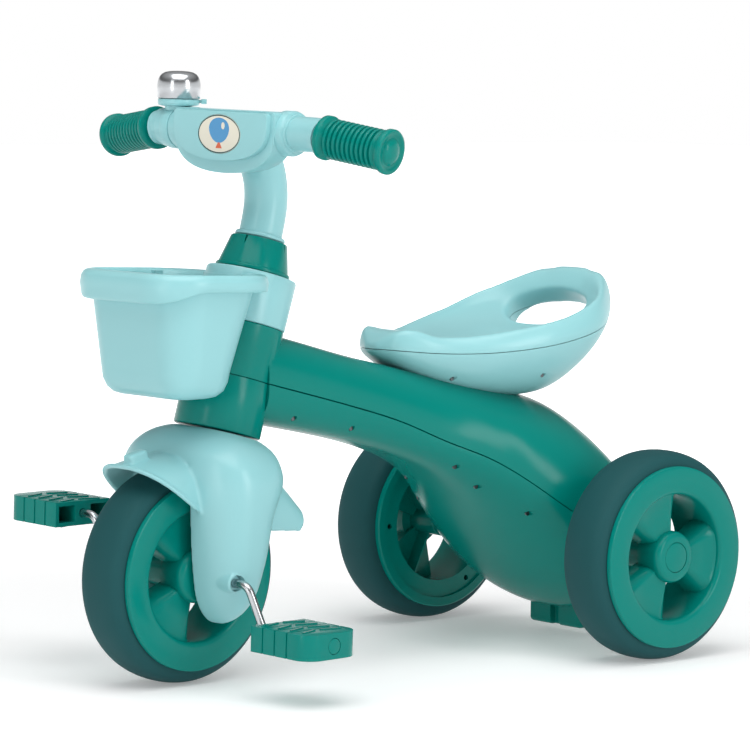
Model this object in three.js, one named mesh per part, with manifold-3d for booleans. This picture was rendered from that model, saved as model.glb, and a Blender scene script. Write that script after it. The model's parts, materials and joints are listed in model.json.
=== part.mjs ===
// Children's tricycle: a two-shell body and seat, a raked steering head with a front fork, mudguard,
// handlebar, bell and basket, a front wheel driven by a bent crank rod with two pedals, and two rear
// wheels.
// Millimetres. +X forward, +Y to the rider's left, +Z up. The origin is on the floor, under the middle.

import * as THREE from "three";
import { mergeVertices } from "three/addons/utils/BufferGeometryUtils.js";
import Module from "manifold-3d";

const wasm = await Module();
wasm.setup();

// ---------------------------------------------------------------- driving dimensions

const GAP = 0.35; // clearance between neighbouring pieces
const WALL = 3; // moulded wall thickness
const REACH = 400; // longer than the object is wide, for cutting tools

const WHEEL_RADIUS = 105;
const FLANGE_RADIUS = 90.8;
const WHEEL_HALF_WIDTH = 33;
const TYRE_HALF_WIDTH = 27;
const DRUM_RADIUS = 84;
const HUB_RADIUS = 26;
const CAP_RADIUS = 14.9;
const AXLE_RADIUS = 4.9;
const ROD_RADIUS = 4;

const WHEELBASE = 465;
const REAR_TRACK_HALF = 174;
const ORIGIN_X = 232.5; // distance from the rear axle to the origin

const RAKE = THREE.MathUtils.degToRad(15.5);
const REST_STEER = THREE.MathUtils.degToRad(4.5); // the bars rest turned a little to the left
const HEAD_FOOT = new THREE.Vector3(418.9, 0, 237.7); // lower end of the head tube, on the steering axis
const HEAD_RADIUS = 42.5;
const HEAD_NECK_RADIUS = 38;
const HEAD_STEP = 106; // along the axis: where the basket ring starts
const HEAD_TOP = 154.5;
const COLLAR_TOP = 189;
const COLUMN_RADIUS = 17;
const STEM_RADIUS = 21;

const BAR_X = 396;
const BAR_Z = 525;
const BAR_RADIUS = 16.5;
const BAR_BEND = 100; // distance from the middle to each bend
const GRIP_INNER = new THREE.Vector3(397.5, 116.6, 523.6);
const GRIP_OUTER = new THREE.Vector3(384.9, 192.4, 512.8);

const CRANK_THROW = new THREE.Vector2(-9.3, -43); // from the front axle to the left pedal pin
const FORK_HALF_WIDTH = 88;
const FORK_INNER = 37; // half the room between the legs
const PEDAL_SIZE = new THREE.Vector3(68, 76, 24);
const PEDAL_INNER_END = 130;

// The wheel leans a little when it is turned about the raked axis, so its tread edge comes down.
const LEAN = Math.asin(Math.sin(RAKE) * Math.sin(REST_STEER));
const TREAD_HALF_FLAT = 4;
const FRONT_AXLE_Z = WHEEL_RADIUS * Math.cos(LEAN) + TREAD_HALF_FLAT * Math.sin(LEAN);
const FRONT_AXLE = new THREE.Vector3(WHEELBASE, 0, FRONT_AXLE_Z);
const REAR_AXLE = new THREE.Vector3(0, 0, WHEEL_RADIUS);

// ---------------------------------------------------------------- materials

const plastic = (color, roughness) => new THREE.MeshStandardMaterial({ color, roughness, metalness: 0 });
const AQUA = plastic("#9fd6da", 0.32);
const GREEN = plastic("#16937f", 0.3);
const TYRE = plastic("#2f5f64", 0.75);
const STICKER = plastic("#ddd9c6", 0.45);
const CHROME = new THREE.MeshStandardMaterial({ color: "#c9ccd0", roughness: 0.15, metalness: 1 });
const STEEL = new THREE.MeshStandardMaterial({ color: "#9a9ea3", roughness: 0.35, metalness: 1 });

// ---------------------------------------------------------------- solids from three.js geometry

function signedVolume(position, index) {
  const corners = [0, 1, 2].map(() => new THREE.Vector3());
  let volume = 0;
  for (let i = 0; i < index.length; i += 3) {
    corners.forEach((corner, k) => corner.fromArray(position, 3 * index[i + k]));
    volume += corners[0].dot(corners[1].clone().cross(corners[2]));
  }
  return volume;
}

function solid(geometry) {
  const bare = new THREE.BufferGeometry();
  bare.setAttribute("position", geometry.getAttribute("position").clone());
  bare.setIndex(geometry.getIndex());
  const merged = mergeVertices(bare, 1e-3);
  const vertProperties = Float32Array.from(merged.getAttribute("position").array);
  const triVerts = Uint32Array.from(merged.getIndex().array);
  if (signedVolume(vertProperties, triVerts) < 0) triVerts.reverse();
  return new wasm.Manifold(new wasm.Mesh({ numProp: 3, vertProperties, triVerts }));
}

function geometryOf(body) {
  const mesh = body.getMesh();
  const geometry = new THREE.BufferGeometry();
  geometry.setAttribute("position", new THREE.BufferAttribute(Float32Array.from(mesh.vertProperties), 3));
  geometry.setIndex(new THREE.BufferAttribute(Uint32Array.from(mesh.triVerts), 1));
  geometry.computeVertexNormals();
  return geometry;
}

const joined = (...bodies) => bodies.reduce((sum, body) => sum.add(body));
const cut = (body, ...tools) => tools.reduce((rest, tool) => rest.subtract(tool), body);
const placed = (geometry, matrix) => geometry.applyMatrix4(matrix);
const moved = (geometry, x, y, z) => geometry.translate(x, y, z);
const mirroredPoint = (point) => new THREE.Vector3(point.x, -point.y, point.z);

// A matrix that turns +Z onto a direction and moves the origin to a point.
function aim(origin, direction) {
  const up = new THREE.Vector3(0, 0, 1);
  const turn = new THREE.Quaternion().setFromUnitVectors(up, direction.clone().normalize());
  return new THREE.Matrix4().compose(origin, turn, new THREE.Vector3(1, 1, 1));
}

// A round bar between two points.
function bar(from, to, radius, sides = 24, endRadius = radius) {
  const along = to.clone().sub(from);
  const geometry = new THREE.CylinderGeometry(endRadius, radius, along.length(), sides);
  geometry.rotateX(Math.PI / 2).translate(0, 0, along.length() / 2);
  return solid(placed(geometry, aim(from, along)));
}

const block = (sizeX, sizeY, sizeZ, x, y, z) => (
  solid(moved(new THREE.BoxGeometry(sizeX, sizeY, sizeZ), x, y, z)));

// A turned shape about +Z from [radius, height] pairs.
function turned(profile, sides) {
  const points = profile.map(([radius, height]) => new THREE.Vector2(radius, height));
  return new THREE.LatheGeometry(points, sides).rotateX(Math.PI / 2);
}

// A closed ring section: the first point is repeated so that the shape closes on itself.
const ringTurned = (profile, sides) => turned([...profile, profile[0]], sides);

// A side view outline in X and Z, extruded across Y.
function sideSlab(shape, fromY, toY, curveSegments = 6) {
  const depth = toY - fromY;
  const geometry = new THREE.ExtrudeGeometry(shape, { depth, bevelEnabled: false, curveSegments });
  return solid(geometry.rotateX(Math.PI / 2).translate(0, toY, 0));
}

// A front view outline in Y and Z, extruded along X.
function frontSlab(shape, fromX, toX, curveSegments = 6) {
  const depth = toX - fromX;
  const geometry = new THREE.ExtrudeGeometry(shape, { depth, bevelEnabled: false, curveSegments });
  const turn = new THREE.Matrix4().makeBasis(
    new THREE.Vector3(0, 1, 0), new THREE.Vector3(0, 0, 1), new THREE.Vector3(1, 0, 0));
  return solid(placed(geometry, turn.setPosition(fromX, 0, 0)));
}

// A tube of round section along a curve.
function tube(curve, radius, steps, sides) {
  const section = new THREE.Shape().absarc(0, 0, radius, 0, 2 * Math.PI);
  const options = { steps, bevelEnabled: false, extrudePath: curve, curveSegments: sides / 2 };
  return solid(new THREE.ExtrudeGeometry(section, options));
}

// A round rod along a line of points that all lie in one plane.
function bentRod(line, radius, sides) {
  const first = line[1].clone().sub(line[0]);
  const normal = first.cross(line.at(-1).clone().sub(line[0])).normalize();
  return loft(line.map((point, i) => {
    const ahead = (line[i + 1] ?? point).clone().sub(line[i - 1] ?? point).normalize();
    const across = normal.clone().cross(ahead);
    return Array.from({ length: sides }, (_, k) => {
      const angle = (2 * Math.PI * k) / sides;
      return point.clone().addScaledVector(normal, radius * Math.cos(angle))
        .addScaledVector(across, radius * Math.sin(angle));
    });
  }));
}

// A solid skinned over a row of closed rings with the same number of points.
function loft(rings) {
  const count = rings[0].length;
  const position = rings.flat().flatMap((point) => [point.x, point.y, point.z]);
  const index = [];
  for (let ring = 0; ring + 1 < rings.length; ring += 1) {
    for (let i = 0; i < count; i += 1) {
      const a = ring * count + i;
      const b = ring * count + ((i + 1) % count);
      index.push(a, b, a + count, b, b + count, a + count);
    }
  }
  [0, rings.length - 1].forEach((ring) => {
    const total = rings[ring].reduce((sum, point) => sum.add(point), new THREE.Vector3());
    const middle = total.divideScalar(count);
    const centre = position.length / 3;
    position.push(middle.x, middle.y, middle.z);
    for (let i = 0; i < count; i += 1) {
      const a = ring * count + i;
      const b = ring * count + ((i + 1) % count);
      index.push(...(ring === 0 ? [centre, b, a] : [centre, a, b]));
    }
  });
  const geometry = new THREE.BufferGeometry();
  geometry.setAttribute("position", new THREE.Float32BufferAttribute(position, 3));
  geometry.setIndex(index);
  return solid(geometry);
}

// A sheet of even thickness over a surface given by at(u, v), u and v from 0 to 1.
function sheet(at, stepsU, stepsV, thickness) {
  const nudge = 1e-3;
  const rings = [];
  for (let i = 0; i <= stepsU; i += 1) {
    const top = [];
    const bottom = [];
    for (let j = 0; j <= stepsV; j += 1) {
      const [u, v] = [i / stepsU, j / stepsV];
      const point = at(u, v);
      const alongU = at(u + nudge, v).sub(at(u - nudge, v));
      const alongV = at(u, v + nudge).sub(at(u, v - nudge));
      const inward = alongU.cross(alongV).normalize().multiplyScalar(-thickness);
      top.push(point);
      bottom.unshift(point.clone().add(inward));
    }
    rings.push([...top, ...bottom]);
  }
  return loft(rings);
}

// A smooth line through [x, value] pairs given in rising x: cubic, with slopes from the neighbours.
function smoothLine(pairs) {
  const slope = (i) => {
    const before = pairs[Math.max(i - 1, 0)];
    const after = pairs[Math.min(i + 1, pairs.length - 1)];
    return (after[1] - before[1]) / (after[0] - before[0]);
  };
  return (x) => {
    const next = pairs.findIndex((pair) => pair[0] >= x);
    const i = next < 0 ? pairs.length - 2 : Math.max(next - 1, 0);
    const [[x0, y0], [x1, y1]] = [pairs[i], pairs[i + 1]];
    const span = x1 - x0;
    const t = THREE.MathUtils.clamp((x - x0) / span, 0, 1);
    const [s0, s1] = [slope(i) * span, slope(i + 1) * span];
    return (2 * t ** 3 - 3 * t ** 2 + 1) * y0 + (t ** 3 - 2 * t ** 2 + t) * s0
      + (3 * t ** 2 - 2 * t ** 3) * y1 + (t ** 3 - t ** 2) * s1;
  };
}

// Points of a rounded ring: an ellipse drawn squarer as the exponent falls below one.
function roundedRing(count, exponent, place) {
  const bent = (value) => Math.sign(value) * Math.abs(value) ** exponent;
  return Array.from({ length: count }, (_, i) => {
    const angle = (2 * Math.PI * (i + 0.5)) / count;
    return place(bent(Math.cos(angle)), bent(Math.sin(angle)));
  });
}

// ---------------------------------------------------------------- scene graph

const tricycle = new THREE.Group();
const frame = new THREE.Group();
frame.position.x = -ORIGIN_X;
tricycle.add(frame);

const STEER_AXIS = new THREE.Vector3(-Math.sin(RAKE), 0, Math.cos(RAKE));
const headMatrix = aim(HEAD_FOOT, STEER_AXIS);
const onAxis = (height) => HEAD_FOOT.clone().addScaledVector(STEER_AXIS, height);

// Everything that turns with the handlebar is modelled straight ahead, then turned about the steering
// axis.
const steered = new THREE.Group();
steered.quaternion.setFromAxisAngle(STEER_AXIS, REST_STEER);
steered.position.copy(HEAD_FOOT).sub(HEAD_FOOT.clone().applyQuaternion(steered.quaternion));
frame.add(steered);

function add(parent, name, body, material) {
  const mesh = new THREE.Mesh(geometryOf(body), material);
  mesh.name = name;
  parent.add(mesh);
}

// ---------------------------------------------------------------- body: side and plan lines

const bodyTop = smoothLine([[-92, 125], [-78, 152], [-50, 190], [-15, 227], [20, 250], [60, 262],
  [120, 275], [180, 286], [260, 303], [340, 324], [390, 336]]);
const bodyParting = smoothLine([[-92, 105], [-20, 105], [5, 109], [60, 149], [123, 195], [180, 220],
  [230, 241], [290, 259], [390, 285]]);
const bodyBottom = smoothLine([[-92, 82], [-78, 58], [-50, 38], [-20, 31], [20, 55], [60, 96], [95, 133],
  [123, 157], [160, 181], [200, 199], [250, 215], [300, 227], [390, 245]]);
const bodyHalfWidth = smoothLine([[-92, 74], [-78, 103], [-50, 125], [-20, 131], [20, 128], [55, 117],
  [90, 100], [123, 82], [165, 65], [220, 53], [280, 47], [390, 42]]);
const BODY_REAR = -92;
const bodySquareness = (x) => THREE.MathUtils.lerp(1, 0.8, THREE.MathUtils.smoothstep(x, 0, 200));

const BODY_FRONT = 388;
const BODY_STATIONS = 13;

// The body solid, moved inwards by an even distance; the ends can be cut back further.
function bodyLoft(inset, rearCut = 0, frontCut = 0) {
  const rings = [];
  for (const station of evenly(BODY_REAR, BODY_FRONT, BODY_STATIONS)) {
    const x = THREE.MathUtils.clamp(station, BODY_REAR + rearCut, BODY_FRONT - frontCut);
    const middle = bodyParting(station);
    const up = bodyTop(station) - middle - inset;
    const down = middle - bodyBottom(station) - inset;
    const side = bodyHalfWidth(station) - inset;
    rings.push(roundedRing(16, bodySquareness(station), (across, rise) => (
      new THREE.Vector3(x, side * across, middle + (rise > 0 ? up : down) * rise))));
  }
  return loft(rings);
}

// The space above or below a side view line, with half a gap taken off along the line.
function lineSlab(line, above, stations) {
  const shift = above ? GAP / 2 : -GAP / 2;
  const far = above ? REACH * 2 : -REACH;
  const points = stations.map((x) => new THREE.Vector2(x, line(x) + shift));
  points.push(new THREE.Vector2(stations.at(-1), far), new THREE.Vector2(stations[0], far));
  return sideSlab(new THREE.Shape(points), -REACH, REACH);
}
const evenly = (from, to, steps) => (
  Array.from({ length: steps + 1 }, (_, i) => from + ((to - from) * i) / steps));

// The parting line runs on through the head tube at the same slope.
const partingThroughHead = (x) => bodyParting(x) + Math.max(x - 390, 0) * Math.tan(RAKE);
const partingSlab = (above) => lineSlab(partingThroughHead, above, evenly(-150, 520, 14));

// ---------------------------------------------------------------- seat: side and plan lines

const SEAT_REAR = -70;
const SEAT_NOSE = 224;
const seatHalfWidth = smoothLine([[-70, 14], [-67, 28], [-60, 43], [-50, 57], [-40, 67.5], [-25, 80],
  [-10, 90], [5, 96], [25, 99], [50, 98], [75, 94], [125, 77], [170, 55], [200, 41], [216, 29],
  [224, 14]]);
const seatSeam = smoothLine([[-70, 357], [-50, 347], [-28, 336], [0, 326], [60, 313], [120, 306],
  [170, 305], [224, 309]]);
const seatCrest = smoothLine([[-70, 362], [-67, 366], [-60, 373], [-50, 379], [-40, 377], [-25, 369],
  [-12, 362], [5, 355], [25, 346], [50, 337], [95, 329], [145, 321], [185, 328], [210, 328], [224, 317]]);
const seatDish = smoothLine([[-70, 363], [-66, 372], [-60, 379], [-50, 383.5], [-42, 379], [-32, 364],
  [-20, 346], [-8, 336], [10, 329], [40, 321], [110, 313], [165, 316], [190, 326], [212, 326],
  [224, 316]]);
const seatBottom = smoothLine([[-70, 354], [-60, 349], [-48, 343], [-38, 331], [-25, 311], [0, 284],
  [25, 265], [45, 258], [90, 258], [140, 266], [185, 282], [224, 303]]);
const seatRim = smoothLine([[-70, 6], [-55, 15], [-40, 17], [-20, 12], [0, 9], [60, 9], [140, 11],
  [224, 5]]);

function seatRing(x) {
  const side = seatHalfWidth(x);
  const [seam, crest] = [seatSeam(x), seatCrest(x)];
  const dish = seatDish(x);
  const bottom = Math.min(seatBottom(x), seam - 2);
  const rim = Math.min(seatRim(x), side * 0.28);
  const half = [
    [0.28 * side, bottom],
    [0.6 * side, bottom + 0.14 * (seam - bottom)],
    [0.87 * side, bottom + 0.5 * (seam - bottom)],
    [side, seam],
    [side - 0.25 * rim, seam + 0.6 * (crest - seam)],
    [side - rim, crest],
    [side - 2.2 * rim, THREE.MathUtils.lerp(dish, crest, 0.5)],
    [0.35 * side, dish],
  ];
  const point = ([y, z]) => new THREE.Vector3(x, y, z);
  return [...half.map(point), ...half.reverse().map(([y, z]) => point([-y, z]))];
}

// A ring moved inwards by an even distance within its own plane of constant x.
function insetRing(ring, distance) {
  const inward = (from, to) => new THREE.Vector3(0, from.z - to.z, to.y - from.y).normalize();
  return ring.map((point, i) => {
    const before = ring.at(i - 1);
    const after = ring[(i + 1) % ring.length];
    const bisector = inward(before, point).add(inward(point, after));
    const stretch = Math.min(2 / bisector.length(), 1.6);
    return point.clone().addScaledVector(bisector.normalize(), distance * stretch);
  });
}

// Stations crowd together towards both ends, where the outline turns.
const seatStations = evenly(0, 1, 16).map((even) => (
  THREE.MathUtils.lerp(SEAT_REAR, SEAT_NOSE, 0.4 * even + 0.3 * (1 - Math.cos(Math.PI * even)))));

const seatLoft = (inset) => loft(seatStations.map((station) => {
  const x = THREE.MathUtils.clamp(station, SEAT_REAR + inset, SEAT_NOSE - inset);
  return insetRing(seatRing(station), inset).map((point) => point.setX(x));
}));

const seamSlab = (above) => lineSlab(seatSeam, above, [-150, ...seatStations, 280]);

// The hand hole at the back of the seat: an oval tunnel down through the dish, behind it the grip.
const HAND_HOLE = { centre: new THREE.Vector3(-11, 0, 343.5), halfWidth: 56, halfHeight: 28, slope: 0.8 };
function handTunnel(extra) {
  const outline = new THREE.Shape();
  outline.absellipse(0, 0, HAND_HOLE.halfHeight + extra, HAND_HOLE.halfWidth + extra, 0, 2 * Math.PI);
  const depth = 300;
  const geometry = new THREE.ExtrudeGeometry(outline, { depth, bevelEnabled: false, curveSegments: 9 });
  const away = new THREE.Vector3(-Math.cos(HAND_HOLE.slope), 0, -Math.sin(HAND_HOLE.slope));
  const side = new THREE.Vector3(0, 1, 0);
  const turn = new THREE.Matrix4().makeBasis(side.clone().cross(away), side, away);
  return solid(placed(geometry.translate(0, 0, -depth / 2), turn.setPosition(HAND_HOLE.centre)));
}

// ---------------------------------------------------------------- body and seat

const BODY_SCREWS = [[352, 249], [283, 236], [160, 192], [130, 170], [87, 143]];
const SEAT_SCREWS = [[155, 279], [66, 281]];
const SCREW_RADIUS = 2.4;

// A screw driven inwards across the object; its head sits in a recess of the given side wall.
function sideScrew(x, z, wallY, side) {
  const point = (y) => new THREE.Vector3(x, side * y, z);
  const head = bar(point(wallY - 3.5), point(wallY - 1.5), SCREW_RADIUS, 8);
  return joined(head, bar(point(wallY - 14), point(wallY - 3.4), SCREW_RADIUS * 0.6, 6));
}
function sideScrewHole(x, z, wallY, side) {
  const point = (y) => new THREE.Vector3(x, side * y, z);
  const recess = bar(point(wallY - 3.5 - GAP), point(wallY + 12), SCREW_RADIUS + GAP, 8);
  return joined(recess, bar(point(wallY - 14 - GAP), point(wallY), SCREW_RADIUS * 0.6 + GAP, 6));
}
// The boss inside a shell that holds such a screw.
const sideBoss = (x, z, wallY, side) => bar(
  new THREE.Vector3(x, side * (wallY - 16), z),
  new THREE.Vector3(x, side * (wallY - 1), z), SCREW_RADIUS + 2.2, 6);

// Half width of the body's outer surface at a height, from the same rounded section.
function bodyWallY(x, z) {
  const middle = bodyParting(x);
  const reach = z > middle ? bodyTop(x) - middle : middle - bodyBottom(x);
  const rise = (Math.abs(z - middle) / reach) ** (1 / bodySquareness(x));
  return bodyHalfWidth(x) * Math.sqrt(Math.max(1 - rise ** 2, 0)) ** bodySquareness(x);
}

const headTube = solid(placed(turned([[0, 0], [HEAD_RADIUS, 0], [HEAD_RADIUS, HEAD_STEP],
  [HEAD_NECK_RADIUS, HEAD_STEP], [HEAD_NECK_RADIUS, HEAD_TOP], [0, HEAD_TOP]], 24), headMatrix));
const HEAD_LINER_RADIUS = 26;
const HEAD_END_WALL = 4;
const headCavity = solid(placed(ringTurned([
  [HEAD_LINER_RADIUS, HEAD_END_WALL],
  [HEAD_RADIUS - WALL, HEAD_END_WALL],
  [HEAD_RADIUS - WALL, HEAD_STEP - HEAD_END_WALL],
  [HEAD_LINER_RADIUS, HEAD_STEP - HEAD_END_WALL]], 16), headMatrix));
const lowerBore = bar(onAxis(-20), onAxis(200), COLUMN_RADIUS + 0.6, 20);
const upperBore = bar(onAxis(96), onAxis(200), STEM_RADIUS + 0.6, 20);

const FOOT_FRONT = -31;
const FOOT_LENGTH = 34;
const FOOT_WIDTH = 78;
const BOSS_INNER = 96;
const BOSS_OUTER = 137;
const BOSS_RADIUS = 15;
const onRearAxle = (y) => new THREE.Vector3(0, y, WHEEL_RADIUS);
const axleBosses = [-1, 1].map((side) => bar(
  onRearAxle(side * BOSS_INNER), onRearAxle(side * BOSS_OUTER), BOSS_RADIUS, 18));
const axleBore = bar(onRearAxle(-REACH), onRearAxle(REACH), AXLE_RADIUS + GAP, 16);

const bodySkin = cut(joined(bodyLoft(0), headTube), bodyLoft(WALL, WALL, 16));
const bodyFrame = cut(
  joined(bodySkin, cut(headTube, headCavity), ...axleBosses), lowerBore, upperBore, axleBore);

const footBlock = cut(
  block(FOOT_LENGTH, FOOT_WIDTH, 40, FOOT_FRONT - FOOT_LENGTH / 2, 0, 29),
  block(8, 12, 60, FOOT_FRONT - 3.9, 0, 20));

const upperBody = bodyFrame.intersect(partingSlab(true));
let lowerBody = joined(bodyFrame.intersect(partingSlab(false)), footBlock);
const bodyScrews = [];
for (const side of [1, -1]) {
  BODY_SCREWS.forEach(([x, z], i) => {
    const wallY = bodyWallY(x, z);
    lowerBody = cut(joined(lowerBody, sideBoss(x, z, wallY, side)), sideScrewHole(x, z, wallY, side));
    bodyScrews.push([`body_screw_${side > 0 ? "left" : "right"}_${i + 1}`, sideScrew(x, z, wallY, side)]);
  });
}
add(frame, "upper_body_shell", upperBody, GREEN);
add(frame, "lower_body_shell", lowerBody, GREEN);

const seatSkin = seatLoft(0);
const tunnelWall = handTunnel(WALL).intersect(seatSkin);
const seatShell = cut(joined(cut(seatSkin, seatLoft(WALL)), tunnelWall), handTunnel(0));
const seatTop = seatShell.intersect(seamSlab(true));
let seatBase = seatShell.intersect(seamSlab(false));
const seatWallY = (x, z) => {
  const [seam, bottom] = [seatSeam(x), seatBottom(x)];
  const rise = (z - bottom) / (seam - bottom);
  const [low, high, from, to] = rise < 0.5 ? [0.12, 0.5, 0.62, 0.88] : [0.5, 1, 0.88, 1];
  return seatHalfWidth(x) * THREE.MathUtils.mapLinear(rise, low, high, from, to);
};
const seatScrews = [];
for (const side of [1, -1]) {
  SEAT_SCREWS.forEach(([x, z], i) => {
    const wallY = seatWallY(x, z);
    seatBase = cut(joined(seatBase, sideBoss(x, z, wallY, side)), sideScrewHole(x, z, wallY, side));
    seatScrews.push([`seat_screw_${side > 0 ? "left" : "right"}_${i + 1}`, sideScrew(x, z, wallY, side)]);
  });
}
add(frame, "seat_top_shell", seatTop, AQUA);
add(frame, "seat_bottom_shell", cut(seatBase, bodyLoft(-2 * GAP)), AQUA);
[...bodyScrews, ...seatScrews].forEach(([name, screw]) => add(frame, name, screw, STEEL));

// ---------------------------------------------------------------- basket and steering collar

const RIM_HEIGHT = (x) => 390 + 0.03 * (x - 390);

const CORNER_STEPS = 3;

// A rounded rectangle in plan, as a ring at one height.
function planRing(rear, front, halfWidth, radius, heightAt) {
  const shape = new THREE.Shape();
  const corner = (x, y, start) => shape.absarc(x, y, radius, start, start + Math.PI / 2);
  corner(front - radius, halfWidth - radius, 0);
  corner(rear + radius, halfWidth - radius, Math.PI / 2);
  corner(rear + radius, radius - halfWidth, Math.PI);
  corner(front - radius, radius - halfWidth, 1.5 * Math.PI);
  const points = shape.getPoints(CORNER_STEPS).slice(0, -1);
  return points.map((point) => new THREE.Vector3(point.x, point.y, heightAt(point.x)));
}

const BASKET_LEVELS = [
  { height: 275, rear: 462, front: 503, halfWidth: 54, radius: 14 },
  { height: 279, rear: 452, front: 512, halfWidth: 62, radius: 22 },
  { height: 293, rear: 444, front: 519, halfWidth: 69, radius: 28 },
  { height: 378, rear: 417, front: 527, halfWidth: 80, radius: 36 },
];
const basketBody = loft([
  ...BASKET_LEVELS.map((level) => (
    planRing(level.rear, level.front, level.halfWidth, level.radius, () => level.height))),
  planRing(415, 528, 81, 38, (x) => RIM_HEIGHT(x) - 1)]);
const basketRoom = loft([
  ...BASKET_LEVELS.map((level) => planRing(level.rear + WALL, level.front - WALL, level.halfWidth - WALL,
    level.radius - WALL, () => level.height + WALL)),
  planRing(417, 528, 79, 36, () => 420)]);
const headSleeve = bar(onAxis(-10), onAxis(230), HEAD_RADIUS + GAP + WALL, 24);
const basketCavity = cut(basketRoom, headSleeve);
const RIM_BAND = 16;
const LIP_DROP = 13;
const lipBottom = (x) => RIM_HEIGHT(x) - RIM_BAND - LIP_DROP * THREE.MathUtils.smoothstep(x, 495, 541);
const basketRim = loft([
  planRing(402, 540, 86, 43, lipBottom),
  planRing(401, 542, 87, 44, (x) => RIM_HEIGHT(x) - 3),
  planRing(404, 539, 84, 42, RIM_HEIGHT)]);
const rimUnderside = loft([
  planRing(380, 537, 83, 41, (x) => lipBottom(x) - 5),
  planRing(380, 537, 83, 41, (x) => RIM_HEIGHT(x) - 3)]);
const ringHeights = [HEAD_STEP + GAP, HEAD_TOP + 1];
const basketRing = solid(placed(turned([[0, ringHeights[0]], [HEAD_RADIUS, ringHeights[0]],
  [HEAD_RADIUS + 1, ringHeights[1]], [0, ringHeights[1]]], 24), headMatrix));
const ringHole = bar(onAxis(-10), onAxis(230), HEAD_NECK_RADIUS + GAP, 24);
const headClearance = bar(onAxis(-10), onAxis(HEAD_STEP + GAP), HEAD_RADIUS + GAP, 24);
const basketShell = joined(
  cut(basketBody, basketCavity),
  cut(basketRim, cut(rimUnderside, basketBody), basketCavity));
const ringTop = bar(onAxis(ringHeights[1]), onAxis(230), HEAD_RADIUS + 40, 8);
const basket = cut(joined(cut(basketShell, ringTop), basketRing), ringHole, headClearance);
add(frame, "basket", basket, AQUA);

const collarProfile = [[STEM_RADIUS + 0.6, HEAD_TOP + 1.6], [36.5, HEAD_TOP + 1.6], [36.5, HEAD_TOP + 5],
  [34, HEAD_TOP + 6], [27.5, COLLAR_TOP], [STEM_RADIUS + 0.6, COLLAR_TOP]];
add(frame, "steering_collar", solid(placed(ringTurned(collarProfile, 24), headMatrix)), GREEN);

// ---------------------------------------------------------------- wheels

// The wheel axis is +Z here; the outer face is at +WHEEL_HALF_WIDTH.
const OPENING_RADIUS = 63;
const WHEEL_SIDES = 30;

const PADDLES = 3;
const PADDLE_HALF_ANGLE = THREE.MathUtils.degToRad(41);
const PADDLE_ROOT = 12;
const WEB_HOLE_CIRCLE = 73;

function rimSolid() {
  const w = WHEEL_HALF_WIDTH;
  const seat = TYRE_HALF_WIDTH + GAP;
  const shell = solid(ringTurned([[FLANGE_RADIUS, seat], [FLANGE_RADIUS, w], [OPENING_RADIUS + 2, w],
    [OPENING_RADIUS, w - 3], [OPENING_RADIUS, 3 - w], [OPENING_RADIUS + WALL, 3 - w],
    [OPENING_RADIUS + WALL, w - WALL - 1], [DRUM_RADIUS - WALL, w - WALL - 1], [DRUM_RADIUS - WALL, -w],
    [FLANGE_RADIUS, -w], [FLANGE_RADIUS, -seat], [DRUM_RADIUS, -seat], [DRUM_RADIUS, seat]], WHEEL_SIDES));
  const hub = solid(turned([[0, -w], [15, -w], [15, 4], [HUB_RADIUS, 4], [HUB_RADIUS, w - 4],
    [HUB_RADIUS - 3, w], [0, w]], 18));
  // The rim is closed by a web on its inner side, pierced by three small holes.
  const web = solid(ringTurned([[OPENING_RADIUS + 1, 3 - w], [DRUM_RADIUS - 1, 3 - w],
    [DRUM_RADIUS - 1, 6 - w], [OPENING_RADIUS + 1, 6 - w]], WHEEL_SIDES));
  const webHoles = [0, 1, 2].map((i) => {
    const angle = (2 * Math.PI * i) / PADDLES;
    const [x, y] = [WEB_HOLE_CIRCLE * Math.cos(angle), WEB_HOLE_CIRCLE * Math.sin(angle)];
    return bar(new THREE.Vector3(x, y, -w), new THREE.Vector3(x, y, 8 - w), 3, 8);
  });
  const parts = [shell, cut(web, ...webHoles), hub];
  for (let i = 0; i < PADDLES; i += 1) {
    const middle = Math.PI + (2 * Math.PI * i) / PADDLES;
    const [first, last] = [middle - PADDLE_HALF_ANGLE, middle + PADDLE_HALF_ANGLE];
    const sector = new THREE.Shape();
    sector.absarc(0, 0, OPENING_RADIUS + 1.5, first, last, false);
    sector.absarc(0, 0, PADDLE_ROOT, last, first, true);
    const paddle = new THREE.ExtrudeGeometry(
      sector, { depth: 20, bevelEnabled: false, curveSegments: 3 });
    parts.push(solid(paddle.translate(0, 0, 3)));
    const rib = new THREE.BoxGeometry(OPENING_RADIUS - PADDLE_ROOT, 3, 18);
    rib.translate((OPENING_RADIUS + PADDLE_ROOT) / 2 + 1.5, 0, -5);
    parts.push(solid(rib.rotateZ(middle)));
  }
  return joined(...parts);
}

function tyreSolid() {
  const side = TYRE_HALF_WIDTH;
  const half = [[DRUM_RADIUS + GAP, side], [FLANGE_RADIUS - 0.5, side], [99, side - 2.5],
    [103.4, side - 10], [WHEEL_RADIUS, TREAD_HALF_FLAT]];
  const otherHalf = half.map(([radius, height]) => [radius, -height]).reverse();
  return solid(ringTurned([...half, ...otherHalf], WHEEL_SIDES));
}

const wheelMatrix = (centre, side) => aim(centre, new THREE.Vector3(0, side, 0));
const rod = (radius, from, to, sides = 16) => (
  bar(new THREE.Vector3(0, 0, from), new THREE.Vector3(0, 0, to), radius, sides));
const rowMajor = (matrix) => matrix.elements.slice();
const atWheel = (body, centre, side) => body.transform(rowMajor(wheelMatrix(centre, side)));

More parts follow.
